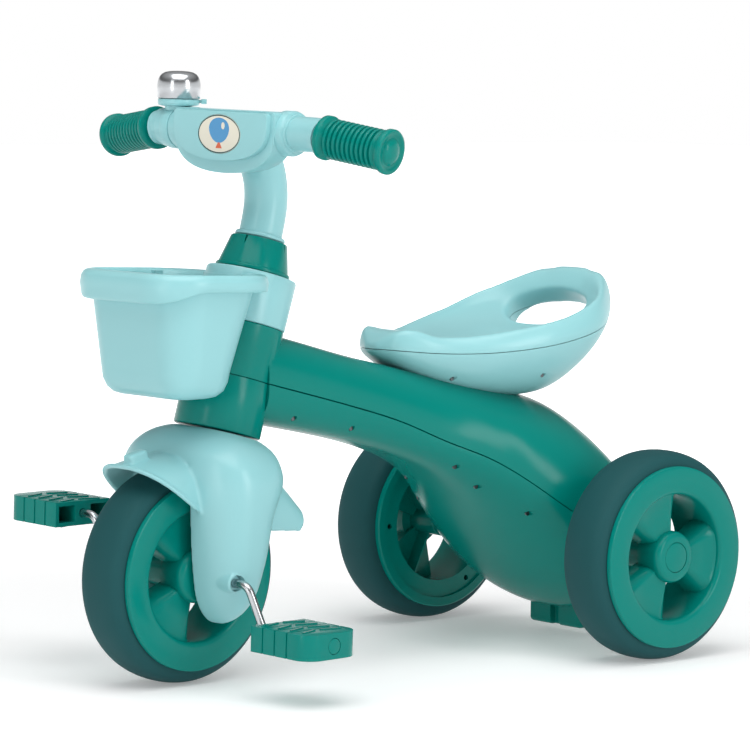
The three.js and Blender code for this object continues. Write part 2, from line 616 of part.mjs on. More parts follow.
const capRecess = joined(
  rod(AXLE_RADIUS + GAP, -50, 50), rod(11, 14, 50, 16), rod(CAP_RADIUS + GAP, 29.5, 50, 18));
for (const [name, side] of [["left", 1], ["right", -1]]) {
  const centre = new THREE.Vector3(0, side * REAR_TRACK_HALF, WHEEL_RADIUS);
  add(frame, `${name}_rear_rim`, atWheel(cut(rimSolid(), capRecess), centre, side), GREEN);
  add(frame, `${name}_rear_tyre`, atWheel(tyreSolid(), centre, side), TYRE);
  add(frame, `${name}_hub_cap`, atWheel(rod(CAP_RADIUS, 29.9, 33, 18), centre, side), GREEN);
  const retainer = cut(rod(9, 15, 18, 16), rod(AXLE_RADIUS + GAP, 0, 50));
  add(frame, `${name}_axle_retainer`, atWheel(retainer, centre, side), STEEL);
}
add(frame, "rear_axle", bar(new THREE.Vector3(0, -(REAR_TRACK_HALF + 22), WHEEL_RADIUS),
  new THREE.Vector3(0, REAR_TRACK_HALF + 22, WHEEL_RADIUS), AXLE_RADIUS, 16), STEEL);

// The front wheel turns with the crank rod that runs through its hub.
add(steered, "front_rim", atWheel(cut(rimSolid(), rod(ROD_RADIUS + GAP, -50, 50)), FRONT_AXLE, 1), GREEN);
add(steered, "front_tyre", atWheel(tyreSolid(), FRONT_AXLE, 1), TYRE);

// ---------------------------------------------------------------- crank and pedals

const PEDAL_PIN_END = PEDAL_INNER_END + PEDAL_SIZE.y - 4;
function pedalPin(side, y) {
  return FRONT_AXLE.clone().add(new THREE.Vector3(side * CRANK_THROW.x, side * y, side * CRANK_THROW.y));
}
const crankCorners = [
  pedalPin(-1, 112), FRONT_AXLE.clone().setY(-98), FRONT_AXLE.clone().setY(98), pedalPin(1, 112)];
const BEND = 9; // length of rod taken up on either side of each corner
const crankLine = [pedalPin(-1, PEDAL_PIN_END)];
crankCorners.forEach((corner, i) => {
  const before = i > 0 ? crankCorners[i - 1] : crankLine[0];
  const after = i + 1 < crankCorners.length ? crankCorners[i + 1] : pedalPin(1, PEDAL_PIN_END);
  const into = corner.clone().add(before.clone().sub(corner).setLength(BEND));
  const out = corner.clone().add(after.clone().sub(corner).setLength(BEND));
  crankLine.push(...new THREE.QuadraticBezierCurve3(into, corner, out).getPoints(4));
});
crankLine.push(pedalPin(1, PEDAL_PIN_END));
add(steered, "crank_rod", bentRod(crankLine, ROD_RADIUS, 10), CHROME);

for (const [name, side] of [["left", 1], ["right", -1]]) {
  const pin = pedalPin(side, 0);
  const middleY = side * (PEDAL_INNER_END + PEDAL_SIZE.y / 2);
  const outline = new THREE.Shape();
  const [halfX, halfY, nose] = [PEDAL_SIZE.x / 2, PEDAL_SIZE.y / 2, 18];
  outline.moveTo(-halfX, -halfY).lineTo(halfX, -halfY);
  outline.absarc(halfX - nose, halfY - nose, nose, 0, Math.PI / 2);
  outline.absarc(nose - halfX, halfY - nose, nose, Math.PI / 2, Math.PI);
  const depth = PEDAL_SIZE.z;
  const plate = new THREE.ExtrudeGeometry(outline, { depth, bevelEnabled: false, curveSegments: 2 });
  plate.translate(0, 0, -PEDAL_SIZE.z / 2);
  if (side < 0) plate.rotateX(Math.PI);
  const hollows = [-1, 1].map((half) => (
    block(20, PEDAL_SIZE.y - 8, PEDAL_SIZE.z - 8, half * 20, -side * 8, 0)));
  const bore = bar(new THREE.Vector3(0, -60, 0), new THREE.Vector3(0, 60, 0), ROD_RADIUS + GAP, 16);
  const pedal = cut(solid(plate), ...hollows, bore).translate([pin.x, middleY, pin.z]);
  const socket = bar(new THREE.Vector3(pin.x, side * (PEDAL_INNER_END + PEDAL_SIZE.y - 8), pin.z),
    new THREE.Vector3(pin.x, side * 300, pin.z), 7.5 + GAP, 16);
  add(steered, `${name}_pedal`, cut(pedal, socket), GREEN);
  const cap = bar(new THREE.Vector3(pin.x, side * (PEDAL_INNER_END + PEDAL_SIZE.y - 3.5), pin.z),
    new THREE.Vector3(pin.x, side * (PEDAL_INNER_END + PEDAL_SIZE.y), pin.z), 7.5, 16);
  add(steered, `${name}_pedal_cap`, cap, GREEN);
}

// ---------------------------------------------------------------- fork, mudguard and steering column

const forkCentre = smoothLine([[61, 452], [100, 449], [130, 446], [162, 443], [190, 438], [212, 431],
  [236, 420]]);
const forkHalfLength = smoothLine([[61, 5], [64, 15], [71, 24], [83, 30], [100, 33], [130, 38], [162, 43.5],
  [190, 50], [208, 52], [222, 49], [231, 42], [236, 34]]);
const forkHalfWidth = smoothLine([[61, 70], [64, 76], [71, 82], [83, 86], [100, 88], [162, 89], [190, 89],
  [206, 85], [219, 75], [230, 60], [236, 44]]);
const FORK_SQUARENESS = 0.72;
const FORK_LEVELS = [61, 64, 71, 83, 100, 130, 162, 190, 206, 219, 230, 236];

// The legs are cut level; towards the crown the levels tip until they face along the steering axis.
function forkLoft(inset) {
  return loft(FORK_LEVELS.map((level) => {
    const z = THREE.MathUtils.clamp(level, 61 + inset, 236 - inset);
    const tip = Math.tan(RAKE) * THREE.MathUtils.smoothstep(level, 150, 215);
    return roundedRing(14, FORK_SQUARENESS, (ahead, across) => {
      const x = (forkHalfLength(z) - inset) * ahead;
      return new THREE.Vector3(forkCentre(z) + x, (forkHalfWidth(z) - inset) * across, z + tip * x);
    });
  }));
}

const ARCH_RADIUS = WHEEL_RADIUS + 7;
const wheelWell = joined(
  bar(FRONT_AXLE.clone().setY(-FORK_INNER), FRONT_AXLE.clone().setY(FORK_INNER), ARCH_RADIUS, 24),
  block(2 * ARCH_RADIUS, 2 * FORK_INNER, 200, FRONT_AXLE.x, 0, FRONT_AXLE.z - 100));

// A mudguard arch: from v = 0 to 1 it runs across over the tyre, and u runs from crown to free edge.
function guard(root, edge, arch) {
  return sheet((u, v) => {
    const angle = (v - 0.5) * Math.PI;
    const over = Math.abs(Math.cos(angle)) ** 0.65 * Math.sign(Math.cos(angle));
    const across = Math.abs(Math.sin(angle)) ** 0.85 * Math.sign(angle);
    const from = new THREE.Vector3(root.x + root.reach * over, root.y * across, root.z + root.rise * over);
    const to = new THREE.Vector3(edge.x + edge.reach * over, edge.y * across, edge.z + edge.rise * over);
    return from.lerp(to, u).add(new THREE.Vector3(0, 0, arch * Math.sin(Math.PI * u) * over));
  }, 3, 8, 2.6);
}
const visor = guard({ x: 440, reach: 14, y: 47, z: 158, rise: 64 },
  { x: 480, reach: 60, y: 52, z: 166, rise: 46 }, 3);
const rearGuard = guard({ x: 410, reach: -16, y: 47, z: 146, rise: 62 },
  { x: 351, reach: -10, y: 47, z: 141, rise: 22 }, 8);

const legBoss = (side) => bar(
  FRONT_AXLE.clone().setY(side * FORK_INNER),
  FRONT_AXLE.clone().setY(side * (FORK_HALF_WIDTH + 0.5)), 11, 16);
const bushHole = bar(FRONT_AXLE.clone().setY(-REACH), FRONT_AXLE.clone().setY(REACH), 7.4 + GAP, 14);
const crownCore = bar(onAxis(-22), onAxis(-8), 24, 16);
const column = bar(onAxis(-12), onAxis(176), COLUMN_RADIUS, 20);
const crownGap = bar(onAxis(-1.5), onAxis(60), HEAD_RADIUS + 20, 24);
const columnHollow = bar(onAxis(-60), onAxis(170), COLUMN_RADIUS - WALL, 12);
const forkSkin = forkLoft(0);
const forkShell = cut(forkSkin, forkLoft(WALL), wheelWell, crownGap);
const guards = cut(joined(visor, rearGuard), forkLoft(WALL / 2), wheelWell);
const nub = block(16, 9, 12, 522, 0, 222);
const fork = cut(
  joined(forkShell, guards, legBoss(1), legBoss(-1), cut(crownCore, wheelWell), column, nub),
  bushHole, columnHollow);
add(steered, "front_fork", fork, AQUA);

for (const [name, side] of [["left", 1], ["right", -1]]) {
  const inner = FRONT_AXLE.clone().setY(side * 38);
  const outer = FRONT_AXLE.clone().setY(side * FORK_HALF_WIDTH);
  const bush = bar(inner, outer, 7.4, 14);
  const bore = bar(FRONT_AXLE.clone().setY(-REACH), FRONT_AXLE.clone().setY(REACH), ROD_RADIUS + GAP, 12);
  add(steered, `${name}_crank_bush`, cut(bush, bore), AQUA);
}

// ---------------------------------------------------------------- handlebar, shield and grips

const stemPath = new THREE.CatmullRomCurve3([
  onAxis(110), onAxis(160), onAxis(192), new THREE.Vector3(361, 0, 458),
  new THREE.Vector3(366, 0, 488), new THREE.Vector3(382, 0, 512), new THREE.Vector3(394, 0, 522)]);
const barPath = new THREE.CatmullRomCurve3([
  mirroredPoint(GRIP_INNER), new THREE.Vector3(BAR_X, -BAR_BEND, BAR_Z),
  new THREE.Vector3(BAR_X, -40, BAR_Z), new THREE.Vector3(BAR_X, 40, BAR_Z),
  new THREE.Vector3(BAR_X, BAR_BEND, BAR_Z), GRIP_INNER.clone()]);

// The D-shaped outline of the shield in front view, with ogee sides.
function shieldOutline(halfWidth, top, bottom, inset) {
  const shape = new THREE.Shape();
  const half = halfWidth - inset;
  const low = bottom + inset;
  const shoulder = THREE.MathUtils.lerp(top, low, 0.35);
  const turn = THREE.MathUtils.lerp(top, low, 0.85);
  shape.moveTo(-half, top - inset).lineTo(-half, shoulder);
  shape.bezierCurveTo(-half, turn, -0.55 * half, low, 0, low);
  shape.bezierCurveTo(0.55 * half, low, half, turn, half, shoulder);
  shape.lineTo(half, top - inset).closePath();
  return shape;
}
const SHIELD = { halfWidth: 70, top: 545, bottom: 485, back: 384, split: 397, step: 418, front: 424 };
const gripAxis = GRIP_OUTER.clone().sub(GRIP_INNER).normalize();
const along = (distance) => GRIP_INNER.clone().addScaledVector(gripAxis, distance);
const GRIP_LENGTH = GRIP_OUTER.distanceTo(GRIP_INNER);

const pegs = [along(-2), mirroredPoint(along(-2))].map((root, i) => {
  const tip = i === 0 ? along(GRIP_LENGTH - 5) : mirroredPoint(along(GRIP_LENGTH - 5));
  return bar(root, tip, 12.4, 14);
});
const backOutline = shieldOutline(SHIELD.halfWidth - 8, SHIELD.top, SHIELD.bottom, 2);
const backPlate = frontSlab(backOutline, SHIELD.back, SHIELD.split, 4);
const stemLip = solid(placed(turned([[0, COLLAR_TOP + 1], [24.5, COLLAR_TOP + 1], [24.5, COLLAR_TOP + 4],
  [STEM_RADIUS, COLLAR_TOP + 6], [0, COLLAR_TOP + 6]], 20), headMatrix));
const stem = tube(stemPath, STEM_RADIUS, 9, 14);
const crossBar = tube(barPath, BAR_RADIUS, 8, 14);
const stemBore = bar(onAxis(90), onAxis(180), COLUMN_RADIUS + GAP, 20);
const handlebarSolid = joined(cut(joined(stem, stemLip), stemBore), crossBar, backPlate, ...pegs);

const SHIELD_SCREWS = [[44, 505], [-44, 505]];
const shieldScrew = (y, z, extra) => joined(
  bar(new THREE.Vector3(SHIELD.back - 0.6 - extra, y, z),
    new THREE.Vector3(SHIELD.back + 2 + extra, y, z), 3.6 + extra, 8),
  bar(new THREE.Vector3(SHIELD.back, y, z),
    new THREE.Vector3(SHIELD.split + 9 + extra, y, z), 1.8 + extra, 6));
const screwRooms = SHIELD_SCREWS.map(([y, z]) => shieldScrew(y, z, GAP));
add(steered, "handlebar", cut(handlebarSolid, ...screwRooms), AQUA);

const shieldBlank = joined(
  frontSlab(shieldOutline(SHIELD.halfWidth, SHIELD.top, SHIELD.bottom, 0), SHIELD.split + GAP, SHIELD.step),
  frontSlab(shieldOutline(SHIELD.halfWidth, SHIELD.top, SHIELD.bottom + 10, 1),
    SHIELD.step - 1, SHIELD.front));
const hollowOutline = shieldOutline(SHIELD.halfWidth, SHIELD.top, SHIELD.bottom, 3);
const shieldHollow = frontSlab(hollowOutline, SHIELD.split - 5, SHIELD.step - 3);
const screwPosts = SHIELD_SCREWS.map(([y, z]) => bar(
  new THREE.Vector3(SHIELD.split + GAP, y, z), new THREE.Vector3(SHIELD.step - 1, y, z), 5, 8));
const barRoom = tube(barPath, BAR_RADIUS + GAP, 8, 14);
const stemRoom = tube(stemPath, STEM_RADIUS + GAP, 9, 14);
const stickerRoom = (extra) => {
  const oval = new THREE.Shape().absellipse(0, 522, 29.5 + extra, 18.5 + extra, 0, 2 * Math.PI);
  return frontSlab(oval, SHIELD.front - 0.7 - extra, SHIELD.front + (extra > 0 ? 5 : 0.1), 9);
};
add(steered, "handlebar_shield",
  cut(joined(cut(shieldBlank, shieldHollow), ...screwPosts),
    barRoom, stemRoom, ...screwRooms, stickerRoom(GAP)), AQUA);
add(steered, "shield_label", stickerRoom(0), STICKER);
SHIELD_SCREWS.forEach(([y, z], i) => {
  add(steered, `shield_screw_${i === 0 ? "left" : "right"}`, shieldScrew(y, z, 0), STEEL);
});

const gripProfile = [
  [12.4 + GAP, 0], [21, 0], [21, 4], [18.6, 6],
  [18.6, GRIP_LENGTH - 7], [21.3, GRIP_LENGTH - 5], [21.3, GRIP_LENGTH - 1], [19, GRIP_LENGTH],
  [8, GRIP_LENGTH], [0, GRIP_LENGTH + 2.5],
  [0, GRIP_LENGTH - 4], [12.4 + GAP, GRIP_LENGTH - 4]];
for (const [name, side] of [["left", 1], ["right", -1]]) {
  const start = side > 0 ? along(0.5) : mirroredPoint(along(0.5));
  const direction = side > 0 ? gripAxis : mirroredPoint(gripAxis);
  const grip = solid(placed(ringTurned(gripProfile, 16), aim(start, direction)));
  add(steered, `${name}_grip`, cut(grip, barRoom), GREEN);
}

// ---------------------------------------------------------------- bell

const BELL = { y: -89.5, base: 545.5, rim: 552.5, top: 579, radius: 21 };
const bellPoint = (z, dx = 0, dy = 0) => new THREE.Vector3(BAR_X + dx, BELL.y + dy, z);
const clampBand = cut(
  joined(
    bar(new THREE.Vector3(BAR_X, -112, BAR_Z), new THREE.Vector3(BAR_X, -82, BAR_Z), 19.4, 18),
    bar(bellPoint(BAR_Z + 10), bellPoint(BELL.base + 2), 9, 12)),
  barRoom);
const cupHollow = bar(bellPoint(BELL.base + 2.5), bellPoint(BELL.rim + 5), BELL.radius - 3, 20);
const LEVER_ANGLE = THREE.MathUtils.degToRad(140); // where the lever comes out, seen from above
const LEVER_PIVOT = 11; // distance of the pivot from the bell's middle
const LEVER_PIN_RADIUS = 1.3;
const leverAt = (reach, z) => new THREE.Vector3(
  BAR_X + reach * Math.cos(LEVER_ANGLE), BELL.y + reach * Math.sin(LEVER_ANGLE), z);
const leverPin = (extra) => bar(
  leverAt(LEVER_PIVOT, BELL.base + 2), leverAt(LEVER_PIVOT, BELL.base + 13), LEVER_PIN_RADIUS + extra, 10);
const leverSlot = solid(new THREE.BoxGeometry(30, 22, 20).translate(26, 0, 0)
  .rotateZ(LEVER_ANGLE).translate(BAR_X, BELL.y, BELL.base + 12.5));
const bellPost = bar(bellPoint(BELL.base), bellPoint(BELL.top - 1.3), 3, 10);
const bellCup = cut(
  bar(bellPoint(BELL.base), bellPoint(BELL.rim), BELL.radius - 0.6, 20), cupHollow, leverSlot);
add(steered, "bell_base", joined(cut(clampBand, cupHollow), bellCup, bellPost, leverPin(0)), AQUA);

const domeOuter = [[BELL.radius, 0], [BELL.radius, 14], [19.5, 20.5], [15, 24.8], [8, 26.3], [0, 26.5]];
const domeInner = [[0, 25.1], [8, 24.8], [14.2, 23.4], [18.3, 19.8], [BELL.radius - 1.4, 14],
  [BELL.radius - 1.4, 0]];
const domeSkin = turned([...domeOuter, ...domeInner, domeOuter[0]], 20);
const dome = solid(domeSkin.translate(BAR_X, BELL.y, BELL.rim + 0.5));
add(steered, "bell_dome", dome, CHROME);

// The lever swings flat under the dome; its thumb tab sticks out towards the rider.
function leverBlock(fromReach, toReach, width, height) {
  const plate = new THREE.BoxGeometry(toReach - fromReach, width, height);
  plate.translate((fromReach + toReach) / 2, 0, 0).rotateZ(LEVER_ANGLE);
  return solid(plate.translate(BAR_X, BELL.y, BELL.base + 4.8));
}
const lever = joined(
  bar(leverAt(LEVER_PIVOT, BELL.base + 3), leverAt(LEVER_PIVOT, BELL.base + 12), 3.2, 12),
  leverBlock(LEVER_PIVOT, 23, 6, 3),
  leverBlock(22, 27, 11, 4.5));
add(steered, "bell_lever", cut(lever, leverPin(GAP)), AQUA);

export default tricycle;
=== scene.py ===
"""Children's tricycle: detailed surfaces, materials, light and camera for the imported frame.

Shapes are worked out in millimetres, in side view lines that start at the rear axle (X forwards, Y to
the rider's left, Z up from the floor), and then placed in the frame in metres.
"""

import json
from math import asin, copysign, cos, hypot, pi, radians, sin, sqrt, tan

import bmesh
import bpy
from mathutils import Matrix, Vector


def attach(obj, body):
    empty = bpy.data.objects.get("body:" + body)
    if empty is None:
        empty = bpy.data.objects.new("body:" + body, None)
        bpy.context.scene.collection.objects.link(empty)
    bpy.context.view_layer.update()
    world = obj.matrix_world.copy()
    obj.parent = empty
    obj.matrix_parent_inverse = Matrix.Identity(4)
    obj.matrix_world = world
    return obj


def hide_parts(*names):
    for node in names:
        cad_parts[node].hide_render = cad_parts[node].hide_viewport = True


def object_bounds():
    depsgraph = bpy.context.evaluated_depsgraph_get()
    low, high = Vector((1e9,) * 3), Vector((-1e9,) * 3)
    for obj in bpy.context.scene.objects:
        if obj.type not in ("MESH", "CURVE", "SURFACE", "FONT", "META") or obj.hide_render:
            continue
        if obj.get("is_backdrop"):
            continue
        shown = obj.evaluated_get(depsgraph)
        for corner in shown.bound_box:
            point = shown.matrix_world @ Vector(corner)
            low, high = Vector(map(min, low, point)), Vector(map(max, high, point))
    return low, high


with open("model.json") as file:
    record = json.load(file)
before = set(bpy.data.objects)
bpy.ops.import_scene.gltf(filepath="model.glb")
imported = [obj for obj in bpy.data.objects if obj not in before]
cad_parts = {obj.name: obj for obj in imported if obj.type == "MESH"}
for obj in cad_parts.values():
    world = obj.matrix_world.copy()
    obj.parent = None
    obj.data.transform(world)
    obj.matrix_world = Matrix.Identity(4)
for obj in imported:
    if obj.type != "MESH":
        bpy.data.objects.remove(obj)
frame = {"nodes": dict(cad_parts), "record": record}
scene = bpy.context.scene
cad_low, cad_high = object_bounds()

# --- driving dimensions, in millimetres

ORIGIN_X = 232.5
GAP = 0.35
BORE_GAP = 0.6
SHARP = 0.1  # edge of a rod that only cuts
SEAM_ABOVE = 0.35
SEAM_BELOW = 0.45
WALL = 3
WHEEL_RADIUS = 105
FLANGE_RADIUS = 90.8
DRUM_RADIUS = 84
OPENING_RADIUS = 63
HALF_WIDTH = 33
LEG_INNER = 37
TYRE_HALF = 27
TREAD_HALF = 4
HUB_RADIUS = 26
CAP_RADIUS = 14.9
WHEELBASE = 465
TRACK_HALF = 174
ROD_RADIUS = 4
AXLE_BORE = 5.25
BUSH_BORE = 7.75
SCREW_HOLE_RADIUS = 2.75
SCREW_HOLE_DEPTH = 3.9

RAKE = radians(15.5)
REST_STEER = radians(4.5)
HEAD_FOOT = Vector((418.9, 0, 237.7))
STEER_AXIS = Vector((-sin(RAKE), 0, cos(RAKE)))
HEAD_RADIUS = 42.5
HEAD_NECK = 38
HEAD_STEP = 106
HEAD_TOP = 154.5
COLLAR_TOP = 189
COLUMN_RADIUS = 17
STEM_RADIUS = 21
BAR_X = 396
BAR_Z = 525
BAR_RADIUS = 16.5
GRIP_INNER = Vector((397.5, 116.6, 523.6))
GRIP_OUTER = Vector((384.9, 192.4, 512.8))
GRIP_CORE = 12.4
CRANK_THROW = (-9.3, -43.0)
PEDAL = Vector((68, 76, 24))
PEDAL_INNER = 130
PEDAL_CAP_RADIUS = 7.5
SIDES = (("left", 1), ("right", -1))
STEERED = ("steering", "front_wheel", "left_pedal_body", "right_pedal_body")

LEAN = asin(sin(RAKE) * sin(REST_STEER))
FRONT_AXLE = Vector((WHEELBASE, 0, WHEEL_RADIUS * cos(LEAN) + TREAD_HALF * sin(LEAN)))

TO_FRAME = Matrix.Scale(0.001, 4) @ Matrix.Translation((-ORIGIN_X, 0, 0))


def about(point, matrix):
    """The matrix applied around a point instead of the origin."""
    return Matrix.Translation(point) @ matrix @ Matrix.Translation(-point)


TURN = about(HEAD_FOOT, Matrix.Rotation(REST_STEER, 4, STEER_AXIS))


# --- lines, sections and surfaces

def lerp(a, b, t):
    return a + (b - a) * t


def smoothstep(x, low, high):
    t = min(max((x - low) / (high - low), 0), 1)
    return t * t * (3 - 2 * t)


def smooth_line(pairs):
    """A cubic line through (x, value) pairs in rising x, with slopes from the neighbours."""
    def slope(i):
        before, after = pairs[max(i - 1, 0)], pairs[min(i + 1, len(pairs) - 1)]
        return (after[1] - before[1]) / (after[0] - before[0])

    def at(x):
        i = 0
        while i + 2 < len(pairs) and pairs[i + 1][0] < x:
            i += 1
        (x0, y0), (x1, y1) = pairs[i], pairs[i + 1]
        span = x1 - x0
        t = min(max((x - x0) / span, 0), 1)
        s0, s1 = slope(i) * span, slope(i + 1) * span
        return ((2 * t**3 - 3 * t**2 + 1) * y0 + (t**3 - 2 * t**2 + t) * s0
                + (3 * t**2 - 2 * t**3) * y1 + (t**3 - t**2) * s1)
    return at


def on_axis(height):
    return HEAD_FOOT + STEER_AXIS * height


def spline(points, steps, closed=False):
    """Points on a Catmull-Rom curve through the given points."""
    count = len(points)
    result = []
    for i in range(count if closed else count - 1):
        near = [n % count if closed else min(max(n, 0), count - 1) for n in range(i - 1, i + 3)]
        a, b, c, d = [points[n] for n in near]
        square = 2 * a - 5 * b + 4 * c - d
        cube = 3 * b - a - 3 * c + d
        for k in range(steps):
            t = k / steps
            result.append(0.5 * (2 * b + (c - a) * t + square * t**2 + cube * t**3))
    if not closed:
        result.append(points[-1])
    return result


def rounded_ring(count, exponent, place):
    """An ellipse drawn squarer as the exponent falls below one."""
    def bent(value):
        return copysign(abs(value) ** exponent, value)
    angles = [2 * pi * (i + 0.5) / count for i in range(count)]
    return [place(bent(cos(a)), bent(sin(a))) for a in angles]


def ring_of(count, place):
    """Evenly spaced points round a closed line given by place(angle)."""
    return [place(2 * pi * k / count) for k in range(count)]


def loft(rings, capped=True):
    """(vertices, faces) skinned over a row of closed rings, each with the same number of points."""
    count = len(rings[0])
    verts = [v for ring in rings for v in ring]
    faces = []
    for r in range(len(rings) - 1):
        for i in range(count):
            j = (i + 1) % count
            faces.append((r * count + i, r * count + j, (r + 1) * count + j, (r + 1) * count + i))
    if capped:
        faces.append(tuple(range(count))[::-1])
        last = (len(rings) - 1) * count
        faces.append(tuple(last + i for i in range(count)))
    return verts, faces


def lathe(profile, sides, matrix=Matrix()):
    """A closed profile of (radius, height) turned about +Z; points on the axis become one vertex."""
    verts, faces, rows = [], [], []
    for radius, height in profile:
        if radius < 1e-6:
            rows.append([len(verts)] * sides)
            verts.append(matrix @ Vector((0, 0, height)))
        else:
            rows.append(list(range(len(verts), len(verts) + sides)))
            verts += ring_of(sides, lambda a: matrix @ Vector((radius * cos(a), radius * sin(a), height)))
    closed = profile[0][0] > 1e-6 or profile[-1][0] > 1e-6
    for k in range(len(rows) if closed else len(rows) - 1):
        one, two = rows[k], rows[(k + 1) % len(rows)]
        for i in range(sides):
            j = (i + 1) % sides
            corners = [one[i], one[j], two[j], two[i]]
            face = [c for n, c in enumerate(corners) if c not in corners[:n]]
            if len(face) > 2:
                faces.append(tuple(face))
    return verts, faces


def aim(origin, direction):
    """A matrix that turns +Z onto a direction and moves the origin to a point."""
    turn = Vector((0, 0, 1)).rotation_difference(Vector(direction).normalized())
    return Matrix.Translation(origin) @ turn.to_matrix().to_4x4()


def rod(start, end, radius, sides=48, edge=0.6, end_radius=None):
    """A round bar with rounded end edges."""
    start, end = Vector(start), Vector(end)
    length = (end - start).length
    far = radius if end_radius is None else end_radius
    profile = [
        (0, 0), (radius - edge, 0), (radius - 0.3 * edge, 0.3 * edge), (radius, edge),
        (far, length - edge), (far - 0.3 * edge, length - 0.3 * edge), (far - edge, length), (0, length)]
    return lathe(profile, sides, aim(start, end - start))


def column_rod(low, high, radius, sides=48, edge=0.6):
    return rod(on_axis(low), on_axis(high), radius, sides, edge)


def axle_point(y):
    return FRONT_AXLE + Vector((0, y, 0))


def bar_rod(start, end, radius, edge):
    """A round bar around the straight middle of the handlebar, between two distances to the side."""
    return rod((BAR_X, start, BAR_Z), (BAR_X, end, BAR_Z), radius, 64, edge)


def tube(line, radius_at, sides):
    """A round tube along a line of points; radius_at takes the distance along it from 0 to 1."""
    rings = []
    normal = Vector((0, 0, 1))
    for i, point in enumerate(line):
        ahead = (line[min(i + 1, len(line) - 1)] - line[max(i - 1, 0)]).normalized()
        if i == 0 and abs(ahead.z) > 0.9:
            normal = Vector((1, 0, 0))
        normal = (normal - ahead * normal.dot(ahead)).normalized()
        side = ahead.cross(normal)
        radius = radius_at(i / (len(line) - 1))
        rings.append(ring_of(sides, lambda a: point + normal * (radius * cos(a))
                             + side * (radius * sin(a))))
    return loft(rings)


def block(size, centre):
    half = Vector(size) / 2
    corners = [(-1, -1), (1, -1), (1, 1), (-1, 1)]
    return loft([[Vector(centre) + Vector((half.x * x, half.y * y, half.z * z)) for x, y in corners]
                 for z in (-1, 1)])


def extrude(outline, low, high, place):
    """A flat outline of (a, b) points pushed from low to high; place(a, b, c) puts a point in space."""
    return loft([[place(a, b, c) for a, b in outline] for c in (low, high)])


def moved(part, matrix):
    return [matrix @ Vector(v) for v in part[0]], part[1]


def on_side(point, side):
    """The point itself for side 1, and its mirror image for side -1."""
    return Vector((point.x, side * point.y, point.z))


# --- meshes in Blender

def raw(part):
    """A mesh object from (vertices, faces), welded and with its faces turned outwards."""
    mesh = bpy.data.meshes.new("raw")
    mesh.from_pydata([tuple(v) for v in part[0]], [], part[1])
    bm = bmesh.new()
    bm.from_mesh(mesh)
    bmesh.ops.remove_doubles(bm, verts=bm.verts, dist=1e-4)
    bmesh.ops.recalc_face_normals(bm, faces=bm.faces)
    if bm.calc_volume(signed=True) < 0:
        bmesh.ops.reverse_faces(bm, faces=bm.faces)
    bmesh.ops.triangulate(bm, faces=[f for f in bm.faces if len(f.verts) > 4])
    bm.to_mesh(mesh)
    bm.free()
    obj = bpy.data.objects.new("raw", mesh)
    scene.collection.objects.link(obj)
    return obj


def bake(obj):
    """Applies all modifiers."""
    graph = bpy.context.evaluated_depsgraph_get()
    mesh = bpy.data.meshes.new_from_object(obj.evaluated_get(graph))
    obj.modifiers.clear()
    old, obj.data = obj.data, mesh
    bpy.data.meshes.remove(old)
    return obj


def as_object(part):
    return raw(part) if isinstance(part, tuple) else part


def boolean(obj, parts, operation):
    """Joins, cuts or intersects closed meshes; the parts are used up."""
    obj = as_object(obj)
    tools = [as_object(part) for part in parts]
    for tool in tools:
        modifier = obj.modifiers.new("cut", "BOOLEAN")
        modifier.operation = operation
        modifier.solver = "MANIFOLD"
        modifier.object = tool
    bake(obj)
    for tool in tools:
        bpy.data.objects.remove(tool, do_unlink=True)
    return obj


def union(obj, *parts):
    return boolean(obj, parts, "UNION")


def cut(obj, *parts):
    return boolean(obj, parts, "DIFFERENCE")


def common(obj, *parts):
    return boolean(obj, parts, "INTERSECT")


def copy(obj):
    twin = obj.copy()
    twin.data = obj.data.copy()
    scene.collection.objects.link(twin)
    return twin


def melt(obj, voxel, rounds):
    """Rebuilds the mesh evenly and smooths it, which rounds its edges like moulded plastic."""
    modifier = obj.modifiers.new("even", "REMESH")
    modifier.mode = "VOXEL"
    modifier.voxel_size = voxel
    smooth = obj.modifiers.new("soften", "SMOOTH")
    smooth.factor = 0.5
    smooth.iterations = rounds
    return bake(obj)


def bevelled(part, width, segments, angle=40):
    obj = as_object(part)
    modifier = obj.modifiers.new("edges", "BEVEL")
    modifier.width = width
    modifier.segments = segments
    modifier.limit_method = "ANGLE"
    modifier.angle_limit = radians(angle)
    return bake(obj)


def islands(bm):
    """The vertices of each connected part of a mesh."""
    left = set(bm.verts)
    while left:
        found = [left.pop()]
        for vert in found:
            for edge in vert.link_edges:
                other = edge.other_vert(vert)
                if other in left:
                    left.remove(other)
                    found.append(other)
        yield found


def cleaned(obj):
    """Closes up slivers left by cuts and removes loose specks."""
    sliver, speck_verts = 0.002, 12
    bm = bmesh.new()
    bm.from_mesh(obj.data)
    bmesh.ops.remove_doubles(bm, verts=bm.verts, dist=sliver)
    bmesh.ops.dissolve_degenerate(bm, edges=bm.edges, dist=sliver)
    specks = [vert for part in list(islands(bm)) if len(part) < speck_verts for vert in part]
    if len(specks) < len(bm.verts) / 2:
        bmesh.ops.delete(bm, geom=specks, context="VERTS")
    bm.to_mesh(obj.data)
    bm.free()
    return obj


def finished(part, name, body, nodes, slot, angle=35, paint=None):
    """Names a piece, puts it in the frame and ties it to its body; paint replaces the slot's material."""
    obj = cleaned(as_object(part))
    obj.name = name
    obj.data.name = name
    obj.data.transform(TO_FRAME @ TURN if body in STEERED else TO_FRAME)
    obj.data.shade_smooth()
    obj.data.set_sharp_from_angle(angle=radians(angle))
    obj.data.materials.clear()
    obj.data.materials.append(paint or BY_SLOT[slot])
    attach(obj, body)
    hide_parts(*nodes)


# --- materials

def set_inputs(node, sockets):
    """Sets a shader node's inputs; an underscore in a name stands for a space."""
    for name, value in sockets.items():
        node.inputs[name.replace("_", " ")].default_value = value
    return node


